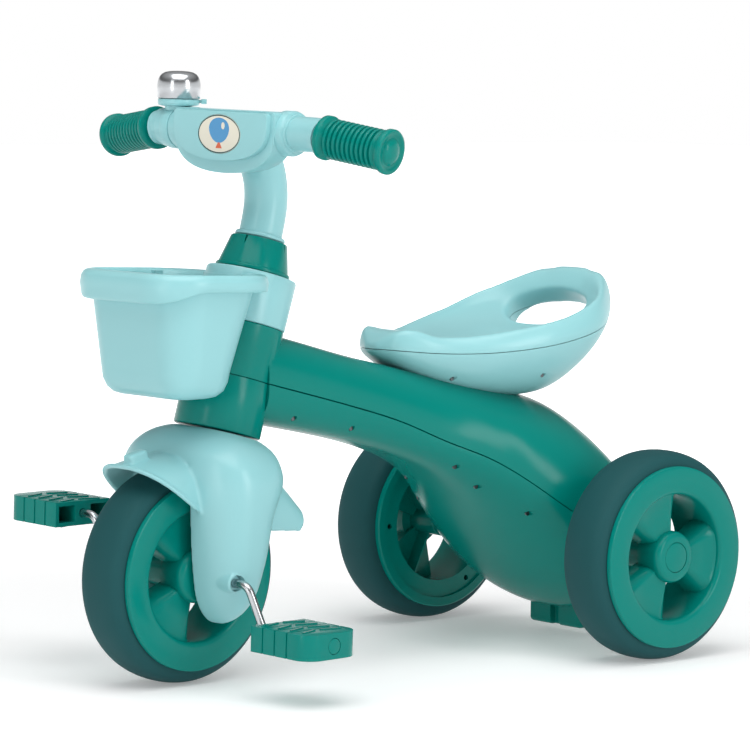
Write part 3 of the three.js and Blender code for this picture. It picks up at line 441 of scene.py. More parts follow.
def new_node(tree, kind, **sockets):
    return set_inputs(tree.nodes.new("ShaderNode" + kind), sockets)


def surface(name, scale_mm, low, high, rough, bump, **shader):
    """A procedural material: cloudy colour, uneven roughness and a fine bump in object space."""
    material = bpy.data.materials.new(name)
    material.use_nodes = True
    tree = material.node_tree
    link = tree.links.new
    principled = tree.nodes["Principled BSDF"]
    set_inputs(principled, shader)
    where = new_node(tree, "TexCoord")
    cloud = new_node(tree, "TexNoise", Scale=7.0, Detail=1.0, Roughness=0.4)
    link(where.outputs["Object"], cloud.inputs["Vector"])
    tint = new_node(tree, "ValToRGB")
    for element, colour in zip(tint.color_ramp.elements, (low, high)):
        element.color = (*colour, 1)
    link(cloud.outputs["Fac"], tint.inputs["Fac"])
    link(tint.outputs["Color"], principled.inputs["Base Color"])
    smudge = new_node(tree, "TexNoise", Scale=24.0, Detail=2.0, Roughness=0.5)
    link(where.outputs["Object"], smudge.inputs["Vector"])
    even = new_node(tree, "MapRange", To_Min=rough[0], To_Max=rough[1])
    link(smudge.outputs["Fac"], even.inputs["Value"])
    link(even.outputs["Result"], principled.inputs["Roughness"])
    grain = new_node(tree, "TexNoise", Scale=1000.0 / scale_mm, Detail=4.0, Roughness=0.55)
    link(where.outputs["Object"], grain.inputs["Vector"])
    relief = new_node(tree, "Bump", Strength=bump, Distance=0.0004)
    link(grain.outputs["Fac"], relief.inputs["Height"])
    link(relief.outputs["Normal"], principled.inputs["Normal"])
    return material


def rgb(code):
    """Linear colour from a hex code."""
    values = [int(code[i:i + 2], 16) / 255 for i in (0, 2, 4)]
    return tuple(v / 12.92 if v <= 0.04045 else ((v + 0.055) / 1.055) ** 2.4 for v in values)


AQUA = surface("aqua plastic", 2.5, rgb("8ec5c9"), rgb("90c7cb"), (0.27, 0.3), 0.02,
               IOR=1.48, Specular_IOR_Level=0.45)
GREEN = surface("green plastic", 2.5, rgb("007b71"), rgb("007f75"), (0.2, 0.24), 0.02,
                IOR=1.48, Specular_IOR_Level=0.18)
TYRE = surface("foam tyre", 0.9, rgb("13474a"), rgb("194e51"), (0.6, 0.74), 0.3,
               IOR=1.4, Specular_IOR_Level=0.3)
CHROME = surface("chrome", 1.5, rgb("b9bcbf"), rgb("c4c7ca"), (0.19, 0.25), 0.02, Metallic=1.0)
# painted shade: the steel is darker than bare zinc plating so the screws at the bottom of the screw holes
# read as dark, shaded holes; the axle ends share this colour
SHADE_DARKENED_STEEL = surface("zinc steel darkened as painted shade", 0.8, rgb("63676a"), rgb("74787b"), (0.3, 0.42), 0.12, Metallic=1.0)
CREAM = surface("label film", 1.2, rgb("d8d3c2"), rgb("dfdaca"), (0.38, 0.48), 0.05)
BLUE = surface("blue print", 1.2, rgb("3f86b8"), rgb("4f96c6"), (0.38, 0.48), 0.05)
ORANGE = surface("orange print", 1.2, rgb("c9562e"), rgb("d4623a"), (0.38, 0.48), 0.05)

BY_SLOT = {"aqua": AQUA, "green": GREEN, "tyre": TYRE, "chrome": CHROME, "steel": SHADE_DARKENED_STEEL, "label": CREAM}
for entry in frame["record"]["subparts"]:
    cad_node = frame["nodes"][entry["node"]]
    cad_node.data.materials.clear()
    cad_node.data.materials.append(BY_SLOT[entry["material_slot"]])

# --- body shells

LINES_END = 390
body_top = smooth_line([
    (-92, 125), (-78, 152), (-50, 190), (-15, 227), (20, 250), (60, 262), (120, 275), (180, 286),
    (260, 303), (340, 324), (LINES_END, 336)])
body_parting = smooth_line([
    (-92, 105), (-20, 105), (5, 109), (60, 149), (123, 195), (180, 220), (230, 241), (290, 259),
    (LINES_END, 285)])
body_bottom = smooth_line([
    (-92, 82), (-78, 58), (-50, 38), (-20, 31), (20, 55), (60, 96), (95, 133), (123, 157), (160, 181),
    (200, 199), (250, 215), (300, 227), (LINES_END, 245)])
body_half_width = smooth_line([
    (-92, 74), (-78, 103), (-50, 125), (-20, 131), (20, 128), (55, 117), (90, 100), (123, 82),
    (165, 65), (220, 53), (280, 47), (LINES_END, 42)])
BODY_REAR = -92
BODY_FRONT = 388


def squareness(x):
    return lerp(1, 0.8, smoothstep(x, 0, 200))


def body_half(above):
    """The body above or below the parting line, with a small rounded edge along the line."""
    sign = 1 if above else -1
    lip = SEAM_ABOVE if above else SEAM_BELOW
    rings = []
    ends = [(5, 0.0), (4.2, 0.45), (2.4, 0.8), (0.8, 0.96)]
    stations = [(BODY_REAR - bulge, BODY_REAR, scale) for bulge, scale in ends]
    stations += [(x, x, 1) for x in [lerp(BODY_REAR, BODY_FRONT, i / 110) for i in range(111)]]
    for x, at, scale in stations:
        middle = body_parting(at)
        height = body_top(at) - middle if above else middle - body_bottom(at)
        side = body_half_width(at)
        power = squareness(at)
        # half section: in along the parting face, round the lip, then over the top and back
        half = [(0.5 * side, lip), (side - 1.2, lip), (side - 0.35, lip + 0.3)]
        for k in range(1, 25):
            a = pi / 2 * k / 24
            up = max(height * sin(a) ** power, lip + 0.9)
            half.append((side * cos(a) ** power if k < 24 else 0.0, up))
        size = max(scale, 0.02)
        ring = [Vector((x, y * size, middle + sign * z * size)) for y, z in half]
        ring += [Vector((v.x, -v.y, v.z)) for v in ring[::-1][1:]]
        rings.append(ring)
    return loft(rings)


def slab(line, above, shift, xs):
    """The space above or below a side view line."""
    reach = 400
    far = 900 if above else -reach
    outline = [(x, line(x) + shift) for x in xs] + [(xs[-1], far), (xs[0], far)]
    return extrude(outline, -reach, reach, lambda a, b, c: Vector((a, c, b)))


def parting_through_head(x):
    """The parting line, which goes on square to the steering column in front of the body."""
    return body_parting(x) + max(x - LINES_END, 0) * tan(RAKE)


HEAD = aim(HEAD_FOOT, STEER_AXIS)
head_profile = [
    (0, 0), (HEAD_RADIUS - 1.6, 0), (HEAD_RADIUS - 0.5, 0.5), (HEAD_RADIUS, 1.6),
    (HEAD_RADIUS, HEAD_STEP - 1), (HEAD_RADIUS - 1, HEAD_STEP), (HEAD_NECK, HEAD_STEP),
    (HEAD_NECK, HEAD_TOP), (0, HEAD_TOP)]


def head_half(above):
    xs = [300 + 8 * i for i in range(28)]
    seam = SEAM_ABOVE if above else -SEAM_BELOW
    part = common(lathe(head_profile, 96, HEAD), slab(parting_through_head, above, seam, xs))
    return bevelled(part, 0.5, 2, 60)


BODY_SCREWS = [(352, 249), (283, 236), (160, 192), (130, 170), (87, 143)]
SEAT_SCREWS = [(155, 279), (66, 281)]


def wall_y(x, z):
    """Distance from the middle plane to the outside of the body."""
    middle = body_parting(x)
    height = body_top(x) - middle if z > middle else middle - body_bottom(x)
    rise = (abs(z - middle) / height) ** (1 / squareness(x))
    return body_half_width(x) * sqrt(max(1 - rise**2, 0)) ** squareness(x)


column_bore = column_rod(-20, 97, COLUMN_RADIUS + BORE_GAP)
stem_bore = column_rod(96, 220, STEM_RADIUS + BORE_GAP)
axle_bore = rod((0, -300, WHEEL_RADIUS), (0, 300, WHEEL_RADIUS), AXLE_BORE, 32)
axle_bosses = [rod((0, s * 96, WHEEL_RADIUS), (0, s * 137, WHEEL_RADIUS), 15, 48, 1) for s in (-1, 1)]


def recess(x, z, y, side):
    """A cutter for a screw hole in a side wall whose outside is y away from the middle plane."""
    start, end = y - SCREW_HOLE_DEPTH, y + 12
    return rod((x, side * start, z), (x, side * end, z), SCREW_HOLE_RADIUS, 24, SHARP)


upper = union(body_half(True), head_half(True))
cut(upper, column_bore, stem_bore, axle_bore)
finished(upper, "upper_shell", "frame", ["upper_body_shell"], "green")

foot = cut(bevelled(block((34, 78, 40), (-48, 0, 29)), 5, 5), block((8, 12, 60), (-34.9, 0, 20)))
bevelled(foot, 1.2, 3, 60)
lower = union(body_half(False), head_half(False), *axle_bosses, foot)
holes = [recess(x, z, wall_y(x, z), side) for side in (1, -1) for x, z in BODY_SCREWS]
cut(lower, column_bore, axle_bore, *holes)
finished(lower, "lower_shell", "frame", ["lower_body_shell"], "green")

# --- seat

SEAT_REAR = -70
SEAT_NOSE = 224
seat_half_width = smooth_line([
    (SEAT_REAR, 14), (-67, 28), (-60, 43), (-50, 57), (-40, 67.5), (-25, 80), (-10, 90), (5, 96),
    (25, 99), (50, 98), (75, 94), (125, 77), (170, 55), (200, 41), (216, 29), (SEAT_NOSE, 14)])
seat_seam = smooth_line([
    (SEAT_REAR, 357), (-50, 347), (-28, 336), (0, 326), (60, 313), (120, 306), (170, 305),
    (SEAT_NOSE, 309)])
seat_crest = smooth_line([
    (SEAT_REAR, 361), (-67, 365), (-60, 373), (-50, 379), (-40, 377), (-25, 369), (-12, 362), (5, 355),
    (25, 347), (50, 339), (95, 330), (145, 322.5), (176, 322.5), (194, 328), (210, 328.5),
    (SEAT_NOSE, 317)])
seat_dish = smooth_line([
    (SEAT_REAR, 362), (-66, 372), (-60, 379), (-50, 383.5), (-42, 379), (-32, 364), (-20, 346),
    (-8, 336), (10, 329), (40, 321), (110, 313), (168, 315), (192, 326), (212, 326), (SEAT_NOSE, 316)])
seat_bottom = smooth_line([
    (SEAT_REAR, 356), (-60, 351), (-48, 346), (-38, 333), (-25, 312), (0, 284), (25, 265), (45, 258),
    (90, 258), (140, 266), (185, 282), (SEAT_NOSE, 303)])
seat_rim_width = smooth_line([
    (SEAT_REAR, 6), (-55, 15), (-40, 17), (-20, 12), (0, 9), (60, 9), (140, 11), (SEAT_NOSE, 5)])


def seat_ring(x, scale=1.0, shift=0.0):
    """The seat's section at x: belly, side, rolled rim and dished top."""
    side, seam, crest, dish = seat_half_width(x), seat_seam(x), seat_crest(x), seat_dish(x)
    bottom = min(seat_bottom(x), seam - 2)
    rim = min(seat_rim_width(x), side * 0.28)
    half = [(0.28 * side, bottom), (0.6 * side, bottom + 0.14 * (seam - bottom)),
            (0.87 * side, bottom + 0.5 * (seam - bottom)), (side, seam),
            (side - 0.25 * rim, seam + 0.6 * (crest - seam)), (side - rim, crest),
            (side - 2.2 * rim, lerp(dish, crest, 0.5)), (0.35 * side, dish)]
    ring = half + [(-y, z) for y, z in half[::-1]]
    ring = spline([Vector((x + shift, y, z)) for y, z in ring], 5, closed=True)
    middle = Vector((x + shift, 0, (bottom + crest) / 2))
    return [middle + (v - middle) * scale for v in ring]


def seat_solid():
    rings = [seat_ring(SEAT_REAR, s, d) for s, d in ((0.1, -5), (0.6, -4.2), (0.88, -2))]
    count = 90
    for i in range(count + 1):
        even = i / count
        # sections stand closer together near both ends, where the seat curves most
        x = lerp(SEAT_REAR, SEAT_NOSE, 0.4 * even + 0.3 * (1 - cos(pi * even)))
        rings.append(seat_ring(x))
    rings += [seat_ring(SEAT_NOSE, s, d) for s, d in ((0.85, 1.6), (0.5, 3), (0.1, 3.4))]
    return raw(loft(rings))


def hand_tunnel():
    """The hand hole runs back and down under the grip and opens out at both mouths."""
    centre, half_width, half_height, slope = Vector((-11, 0, 343.5)), 56, 28, 0.8
    away = Vector((-cos(slope), 0, -sin(slope)))
    up = Vector((-sin(slope), 0, cos(slope)))
    rings = []
    for k in range(31):
        distance = lerp(-70, 70, k / 30)
        flare = 1 + 0.00012 * max(abs(distance) - 5, 0) ** 2
        middle = centre + away * distance
        rings.append(ring_of(64, lambda a: middle + Vector((0, half_width * flare * cos(a), 0))
                             + up * (half_height * flare * sin(a))))
    return loft(rings)


seat = melt(cut(seat_solid(), hand_tunnel()), 1.7, 44)
seat_xs = [-150 + 6 * i for i in range(72)]
seat_upper = common(copy(seat), slab(seat_seam, True, 0.3, seat_xs))
finished(seat_upper, "seat_upper", "frame", ["seat_top_shell"], "aqua", angle=50)
seat_lower = common(seat, slab(seat_seam, False, -0.4, seat_xs))


def seat_wall_y(x, z):
    """Distance from the middle plane to the outside of the seat's lower shell."""
    seam, bottom = seat_seam(x), seat_bottom(x)
    rise = (z - bottom) / (seam - bottom)
    if rise < 0.5:
        return seat_half_width(x) * lerp(0.66, 0.9, (rise - 0.14) / 0.36)
    return seat_half_width(x) * lerp(0.9, 1, (rise - 0.5) / 0.5)


seat_holes = [recess(x, z, seat_wall_y(x, z), side) for side in (1, -1) for x, z in SEAT_SCREWS]
cut(seat_lower, *seat_holes)
finished(seat_lower, "seat_lower", "frame", ["seat_bottom_shell"], "aqua", angle=50)

# --- basket and collar


def rim_height(x):
    return 390 + 0.03 * (x - 390)


def lip_bottom(x):
    """The rim's lower edge, which droops towards the front."""
    return rim_height(x) - 16 - 13 * smoothstep(x, 495, 541)


def plan_ring(rear, front, half, radius, height_at):
    """A rectangle with rounded corners seen from above, at the height that height_at gives for each x."""
    steps = 12
    points = []
    corners = [(front - radius, half - radius, 0), (rear + radius, half - radius, 1),
               (rear + radius, radius - half, 2), (front - radius, radius - half, 3)]
    for x, y, quarter in corners:
        for k in range(steps + 1):
            a = pi / 2 * (quarter + k / steps)
            points.append((x + radius * cos(a), y + radius * sin(a)))
    # extra points along the straight sides keep the drooping rim smooth
    dense = []
    for i, (x, y) in enumerate(points):
        next_x, next_y = points[(i + 1) % len(points)]
        dense.append((x, y))
        if hypot(next_x - x, next_y - y) > 12 or i % (steps + 1) == steps:
            dense += [(lerp(x, next_x, k / 10), lerp(y, next_y, k / 10)) for k in range(1, 10)]
    return [Vector((x, y, height_at(x))) for x, y in dense]


def level_rings(*rows):
    """Plan rings that are each at one height."""
    return [plan_ring(*plan, lambda x, z=z: z) for *plan, z in rows]


def rim_ring(rear, front, half, radius, share, shift):
    """A plan ring between the rim's lower edge (share 0) and its top (share 1), then shifted."""
    return plan_ring(rear, front, half, radius,
                     lambda x: lerp(lip_bottom(x), rim_height(x), share) + shift)


SHOULDER_Z = 299
SHOULDER = (442.5, 520, 69.5, 31)
BRIM = (419, 527.5, 79.5, 38)
outer_rings = level_rings(
    (474, 489, 30, 7, 275), (462, 503, 50, 14, 275), (455, 509, 58, 20, 277),
    (448.5, 514.5, 64, 25, 282), (444.5, 518.5, 68, 29, 290), (*SHOULDER, SHOULDER_Z))
for t in (0.25, 0.5, 0.75, 0.9, 1):
    plan = [lerp(low, high, t) for low, high in zip(SHOULDER, BRIM)]
    outer_rings.append(plan_ring(*plan, lambda x: lerp(SHOULDER_Z, lip_bottom(x) + 2, t)))
rim_rings = [rim_ring(*row) for row in (
    (404.8, 533, 83, 42, 0, 1.6), (403.4, 536.2, 84.4, 44, 0, 0.2), (402, 538.6, 85.6, 46, 0, 1.2),
    (401.4, 540.6, 86.3, 48, 0, 4), (401, 541.8, 86.8, 48, 0.52, 0), (401.3, 540.8, 86.3, 48, 1, -6),
    (402.4, 538.4, 85.2, 47, 1, -2.4), (404.4, 535.2, 83.6, 45, 1, -0.6), (407, 532, 81.6, 43, 1, 0),
    (411, 529, 79.4, 41, 1, -1.4), (413.5, 527, 78.2, 40, 1, -4), (416, 525, 76.8, 38, 1, -9))]
inner_rings = level_rings(
    (446, 516.5, 66.5, 28, SHOULDER_Z), (449, 513, 64, 25, 290), (454, 507.5, 60.5, 20, 282.5),
    (460, 502, 55, 15, 279), (466, 497, 48, 11, 278), (476, 488, 30, 5, 278))
shell = loft(outer_rings + rim_rings + inner_rings)
wall_ribs = [block((9, 7, 13), (x, side * 73.4, 382.3)) for x in (436, 468, 500) for side in (-1, 1)]
filled = loft(outer_rings + [rim_ring(416, 529, 81, 32, 1, -1.5)])
sleeve = common(lathe([(0, -10), (45.8, -10), (45.8, 230), (0, 230)], 96, HEAD), filled)
RING_TOP = 155.5
ring_profile = [
    (0, 106.4), (42, 106.4), (43, 107.4), (44, 153.5), (43, 155.2), (41.5, RING_TOP), (0, RING_TOP)]
ring = lathe(ring_profile, 96, HEAD)
trim_top = column_rod(RING_TOP, 230, 82, 64, SHARP)
basket = union(cut(union(shell, sleeve), trim_top), ring, *wall_ribs)
cut(basket, column_rod(-10, 230, HEAD_NECK + GAP, 96, SHARP),
    column_rod(-10, HEAD_STEP + GAP, HEAD_RADIUS + GAP, 96, SHARP))
finished(basket, "basket_tub", "frame", ["basket"], "aqua", angle=40)

collar_bore = STEM_RADIUS + BORE_GAP
collar_profile = [
    (collar_bore, 156.2), (35.4, 156.2), (36.4, 157), (36.5, 159), (36, 160.2), (34.4, 161),
    (27.9, COLLAR_TOP - 1.4), (27, COLLAR_TOP - 0.2), (26, COLLAR_TOP), (collar_bore, COLLAR_TOP)]
collar = raw(lathe(collar_profile, 96, HEAD))
notches = []
for k in range(4):
    turn = HEAD @ Matrix.Rotation(radians(25 + 90 * k), 4, "Z")
    corners = [(-1.6, 190), (1.6, 190), (0.25, 180.5), (-0.25, 180.5)]
    notches.append(loft([[turn @ Vector((r, y, z)) for y, z in corners] for r in (23, 36)]))
cut(collar, *notches)
finished(collar, "column_collar", "frame", ["steering_collar"], "green")

# --- wheels


def tyre_part():
    side = TYRE_HALF
    half = [(DRUM_RADIUS + GAP, side - 1), (DRUM_RADIUS + 1.2, side), (FLANGE_RADIUS - 1, side),
            (FLANGE_RADIUS + 2, side - 0.2), (96.5, side - 1.4), (99.3, side - 3.2), (101.4, side - 6),
            (102.9, side - 9.5), (103.9, side - 13.5), (104.6, side - 18), (WHEEL_RADIUS, TREAD_HALF),
            (WHEEL_RADIUS, 0)]
    return lathe(half + [(r, -h) for r, h in half[::-1][1:]], 160)


def paddle(middle):
    """One of the rim's three broad paddles, with edges that roll down into the openings."""
    half_angle, roll = radians(35), radians(15)
    low = -1.0
    rings = []
    for k in range(41):
        turn = lerp(-1, 1, k / 40) * half_angle
        edge = max((abs(turn) - half_angle + roll) / roll, 0)
        top = 10 + 15.5 * sqrt(max(1 - edge**2, 0))
        section = [(12, low), (OPENING_RADIUS + 1.5, low), (OPENING_RADIUS + 1.5, top + 2.5),
                   (OPENING_RADIUS - 3, top), (OPENING_RADIUS - 20, top - 0.8), (12, top)]
        a = middle + turn
        rings.append([Vector((r * cos(a), r * sin(a), z)) for r, z in section])
    return loft(rings)


def third_turns(first):
    """Three angles evenly spaced round the wheel, the first given in degrees."""
    return [radians(first + 120 * i) for i in range(3)]


def rim_object():
    """A wheel rim along +Z: ring, hub, three paddles between them, and ribs behind."""
    w, flange, drum, opening = HALF_WIDTH, FLANGE_RADIUS, DRUM_RADIUS, OPENING_RADIUS
    tyre_edge = TYRE_HALF + GAP
    ring_part = lathe([
        (flange - 0.4, tyre_edge), (flange, tyre_edge + 0.4), (flange, w - 2), (flange - 0.6, w - 0.6),
        (flange - 2, w), (opening + 5, w), (opening + 2.6, w - 0.7), (opening + 0.8, w - 2.4),
        (opening, w - 5), (opening, 3 - w), (opening + WALL, 3 - w), (opening + WALL, w - WALL - 1),
        (drum - WALL, w - WALL - 1), (drum - WALL, -w), (flange - 1.5, -w), (flange, -w + 1.5),
        (flange, -tyre_edge), (drum, -tyre_edge), (drum, tyre_edge)], 128)
    hub_part = lathe([
        (0, -w), (14, -w), (15, -w + 1), (15, 4), (HUB_RADIUS, 4), (HUB_RADIUS, w - 7),
        (HUB_RADIUS - 0.8, w - 3.6), (HUB_RADIUS - 2.6, w - 1.2), (HUB_RADIUS - 5.5, w), (0, w)], 72)
    web = lathe([(opening + 1, 3 - w), (drum - 1, 3 - w), (drum - 1, 6 - w), (opening + 1, 6 - w)], 128)
    holes = []
    for a in third_turns(0):
        x, y = 73 * cos(a), 73 * sin(a)
        holes.append(rod((x, y, -w), (x, y, 8 - w), 3, 24, SHARP))
    parts = [ring_part, cut(web, *holes), hub_part]
    parts += [paddle(a) for a in third_turns(174)]
    for a in third_turns(54):
        rib = block((opening - 12, 2.6, 17), (opening / 2 + 7.5, 0, -8))
        parts.append(moved(rib, Matrix.Rotation(a, 4, "Z")))
    return union(*parts)


def at_wheel(obj, centre, side):
    obj.data.transform(aim(centre, (0, side, 0)))
    return obj


def hub_hole(start, radius, sides):
    return rod((0, 0, start), (0, 0, 60), radius, sides, SHARP)


rim = rim_object()
rod_hole = hub_hole(-60, ROD_RADIUS + GAP, 32)
cap_room = hub_hole(29.5, CAP_RADIUS + GAP, 64)
axle_room = hub_hole(14, 11, 48)
axle_hole = hub_hole(-60, AXLE_BORE, 32)
front_rim = cut(copy(rim), rod_hole)
rear_rim = cut(rim, axle_hole, axle_room, cap_room)
tyre = raw(tyre_part())
cap_part = lathe([
    (0, 29.9), (14, 29.9), (CAP_RADIUS, 30.4), (CAP_RADIUS, 32.2), (CAP_RADIUS - 0.3, 32.7),
    (CAP_RADIUS - 1, 33), (0, 33)], 64)
for name, side in SIDES:
    centre = Vector((0, side * TRACK_HALF, WHEEL_RADIUS))
    for obj, piece, cad, slot in ((copy(rear_rim), "rim", "rear_rim", "green"),
                                  (copy(tyre), "tyre", "rear_tyre", "tyre"),
                                  (raw(cap_part), "cap", "hub_cap", "green")):
        finished(at_wheel(obj, centre, side), f"{name}_wheel_{piece}", f"{name}_rear_wheel",
                 [f"{name}_{cad}"], slot)
for obj, piece, slot in ((front_rim, "rim", "green"), (copy(tyre), "tyre", "tyre")):
    finished(at_wheel(obj, FRONT_AXLE, 1), f"front_wheel_{piece}", "front_wheel", [f"front_{piece}"], slot)
for spare in (rear_rim, tyre):
    bpy.data.objects.remove(spare, do_unlink=True)

# --- crank and pedals


def pin(side, y):
    """A point on the line of a pedal's pin."""
    return FRONT_AXLE + Vector((side * CRANK_THROW[0], side * y, side * CRANK_THROW[1]))


def crank_line():
    """The crank rod from pedal to pedal, with its four corners rounded."""
    reach, outer_bend, inner_bend, bend_size = PEDAL_INNER + PEDAL.y - 4, 112, 98, 9
    points = [pin(-1, reach), pin(-1, outer_bend), axle_point(-inner_bend), axle_point(inner_bend),
              pin(1, outer_bend), pin(1, reach)]
    line = [points[0]]
    for before, corner, after in zip(points, points[1:], points[2:]):
        into = corner + (before - corner).normalized() * bend_size
        out = corner + (after - corner).normalized() * bend_size
        for k in range(9):
            t = k / 8
            line.append(into * (1 - t) ** 2 + corner * 2 * t * (1 - t) + out * t**2)
    return line + [points[-1]]


crank = tube(crank_line(), lambda t: ROD_RADIUS, 32)
finished(crank, "crank_bar", "front_wheel", ["crank_rod"], "chrome", 60)


def pedal_object(side):
    half_x, half_y, half_z, nose = PEDAL.x / 2, PEDAL.y / 2, PEDAL.z / 2, 18
    outline = [(-half_x, -half_y), (half_x, -half_y)]
    for centre_x, quarter in ((half_x - nose, 0), (nose - half_x, 1)):
        for k in range(13):
            a = pi / 2 * (quarter + k / 12)
            outline.append((centre_x + nose * cos(a), half_y - nose + nose * sin(a)))
    plate = extrude(outline, -half_z, half_z, lambda x, y, z: Vector((x, side * y, z)))
    pedal = bevelled(plate, 1.4, 3)
    # two long pockets open at the crank end, and three grooves round the block
    tools = [block((20, PEDAL.y - 8, 16), (half * 20, -side * 8, 0)) for half in (-1, 1)]
    for y in (-22, -6, 10):
        tools += [block((80, 2.2, 1.8), (0, side * y, face * half_z)) for face in (-1, 1)]
        tools += [block((1.8, 2.2, 40), (end * half_x, side * y, 0)) for end in (-1, 1)]
    cut(pedal, *tools, rod((0, -60, 0), (0, 60, 0), ROD_RADIUS + GAP, 32, SHARP),
        rod((0, side * (half_y - 8), 0), (0, side * 60, 0), PEDAL_CAP_RADIUS + GAP, 32, SHARP))
    # raised tread bars in a low chevron on both faces
    for face in (-1, 1):
        for y in (-31, -14, 2, 18):
            for lean in (-1, 1):
                turn = (Matrix.Translation((lean * 14, side * y, face * (half_z + 0.2)))
                        @ Matrix.Rotation(lean * 0.3, 4, "Z"))
                pedal = union(pedal, moved(block((22, 2.4, 1.6), (0, 0, 0)), turn))
    return pedal


for name, side in SIDES:
    body, end = f"{name}_pedal_body", PEDAL_INNER + PEDAL.y
    pedal = pedal_object(side)
    pedal.data.transform(Matrix.Translation(pin(side, PEDAL_INNER + PEDAL.y / 2)))
    finished(pedal, f"{name}_pedal_block", body, [f"{name}_pedal"], "green")
    cap = rod(pin(side, end - 3.5), pin(side, end), PEDAL_CAP_RADIUS, 48, 0.8)
    finished(cap, f"{name}_pedal_end", body, [f"{name}_pedal_cap"], "green")

# --- fork and mudguard

FORK_TOP = 236
fork_centre = smooth_line([
    (61, 452), (100, 449), (130, 446), (162, 443), (190, 438), (212, 431), (FORK_TOP, 420)])
fork_half_length = smooth_line([
    (61, 4), (63, 9), (67, 14.5), (74, 21), (85, 27), (100, 31.5), (130, 38), (162, 43.5), (190, 50),
    (208, 52), (222, 49), (231, 42), (FORK_TOP, 34)])
fork_half_width = smooth_line([
    (61, 50), (63, 57), (67, 65), (74, 74), (85, 82), (100, 87), (162, 89), (190, 89), (206, 85),
    (219, 75), (230, 60), (FORK_TOP, 44)])


def fork_loft():
    """The fork as a full dome with two legs' outer shape; the wheel's room is cut out of it later."""
    levels = [61, 62, 63.5, 66, 69, 73, 78, 84]
    levels += [90 + 5 * i for i in range(24)] + [209 + 3 * i for i in range(10)]
    rings = []
    for height in levels:
        z = min(height, FORK_TOP)
        tip = tan(RAKE) * smoothstep(z, 150, 215)

        def place(ahead, across):
            x = fork_half_length(z) * ahead
            return Vector((fork_centre(z) + x, fork_half_width(z) * across, z + tip * x))
        rings.append(rounded_ring(72, lerp(0.9, 0.74, smoothstep(z, 70, 130)), place))
    return loft(rings)


def sheet(at, steps_u, steps_v, thickness):
    """A sheet of even thickness over a surface given by at(u, v)."""
    nudge = 1e-3
    rings = []
    for i in range(steps_u + 1):
        top, bottom = [], []
        for j in range(steps_v + 1):
            u, v = i / steps_u, j / steps_v
            across = (at(u + nudge, v) - at(u - nudge, v)).cross(at(u, v + nudge) - at(u, v - nudge))
            point = at(u, v)
            top.append(point)
            bottom.insert(0, point - across.normalized() * thickness)
        rings.append(top + bottom)
    return loft(rings)


def guard(root, edge, arch):
    """A mudguard sheet from root to edge; each line is (x, x rise, half width, z, z rise)."""
    def on_line(line, over, across):
        x, x_rise, half_width, z, z_rise = line
        return Vector((x + x_rise * over, half_width * across, z + z_rise * over))

    def at(u, v):
        angle = (v - 0.5) * pi
        over = max(cos(angle), 0) ** 0.65
        across = copysign(abs(sin(angle)) ** 0.85, angle)
        point = on_line(root, over, across).lerp(on_line(edge, over, across), u)
        return point + Vector((0, 0, arch * sin(pi * min(max(u, 0), 1)) * over))
    return at


visor = guard((440, 14, 47, 158, 64), (480, 58, 52, 166, 46), 3)
rear_guard = guard((410, -16, 47, 146, 62), (351, -10, 47, 141, 22), 8)


def edge_bead(at):
    """A round bead along a guard's outer edge."""
    return tube([at(1, 0.02 + 0.96 * j / 60) for j in range(61)], lambda t: 2.2, 12)


arch = WHEEL_RADIUS + 7
well = union(rod(axle_point(-LEG_INNER), axle_point(LEG_INNER), arch, 96, 5),
             block((2 * arch, 2 * LEG_INNER, 200), (FRONT_AXLE.x, 0, FRONT_AXLE.z - 100)))
leg_bosses = [rod(axle_point(side * LEG_INNER), axle_point(side * 82.5), 9.2, 48, 1) for side in (-1, 1)]
inner = raw(fork_loft())
inner.data.transform(about(Vector((444, 0, 150)), Matrix.Diagonal((0.94, 0.96, 0.97, 1))))
GUARD_THICKNESS = 3.2
guards = union(sheet(visor, 24, 60, GUARD_THICKNESS), sheet(rear_guard, 20, 60, GUARD_THICKNESS),
               edge_bead(visor), edge_bead(rear_guard))
cut(guards, inner)
nub_place = Matrix.Translation((521, 0, 220)) @ Matrix.Rotation(radians(14), 4, "Y")
nub = bevelled(moved(block((22, 13, 9), (0, 0, 0)), nub_place), 2, 3)
# a fillet down each side closes the join of the visor and the leg
JOIN_LINE = ((477, 43, 150), (478, 43, 190), (474, 43, 213), (480, 32, 214), (477, 34, 200))
joins = [rod((x0, side * y0, z0), (x1, side * y1, z1), 5, 24) for side in (-1, 1)
         for (x0, y0, z0), (x1, y1, z1) in zip(JOIN_LINE, JOIN_LINE[1:])]
fork = cut(fork_loft(), well)
fork = union(fork, guards, nub, *joins, *leg_bosses)
melt(fork, 1.4, 7)
cut(fork, column_rod(-1.5, 60, 90, 64, SHARP))
fork = union(fork, column_rod(-6, 176, COLUMN_RADIUS, 64))
cut(fork, rod(axle_point(-200), axle_point(200), BUSH_BORE, 48, SHARP))
sleeve_profile = [
    (ROD_RADIUS + GAP, 39), (6.8, 39), (7.4, 39.6), (7.4, 79), (6.8, 79.6), (ROD_RADIUS + GAP, 79.6)]
for name, side in SIDES:
    crank_sleeve = lathe(sleeve_profile, 48, aim(FRONT_AXLE, (0, side, 0)))
    finished(crank_sleeve, f"{name}_crank_sleeve", "steering", [f"{name}_crank_bush"], "aqua")
finished(fork, "fork_and_mudguard", "steering", ["front_fork"], "aqua", 45)

# --- handlebar, shield and grips

stem_bend = [Vector((x, 0, z)) for x, z in ((361, 458), (366, 488), (382, 512), (394, 522))]
stem_line = spline([on_axis(100), on_axis(150), on_axis(192), *stem_bend], 10)
bar_line = spline([on_side(GRIP_INNER, -1), *[Vector((BAR_X, y, BAR_Z)) for y in (-100, -40, 40, 100)],
                   GRIP_INNER], 10)
SHIELD_HALF = 70
SHIELD_TOP = 545
SHIELD_BOTTOM = 485
SHIELD_BACK = 384
SHIELD_SPLIT = 397
SHIELD_STEP = 418
SHIELD_FRONT = 424
LABEL_Z = 522


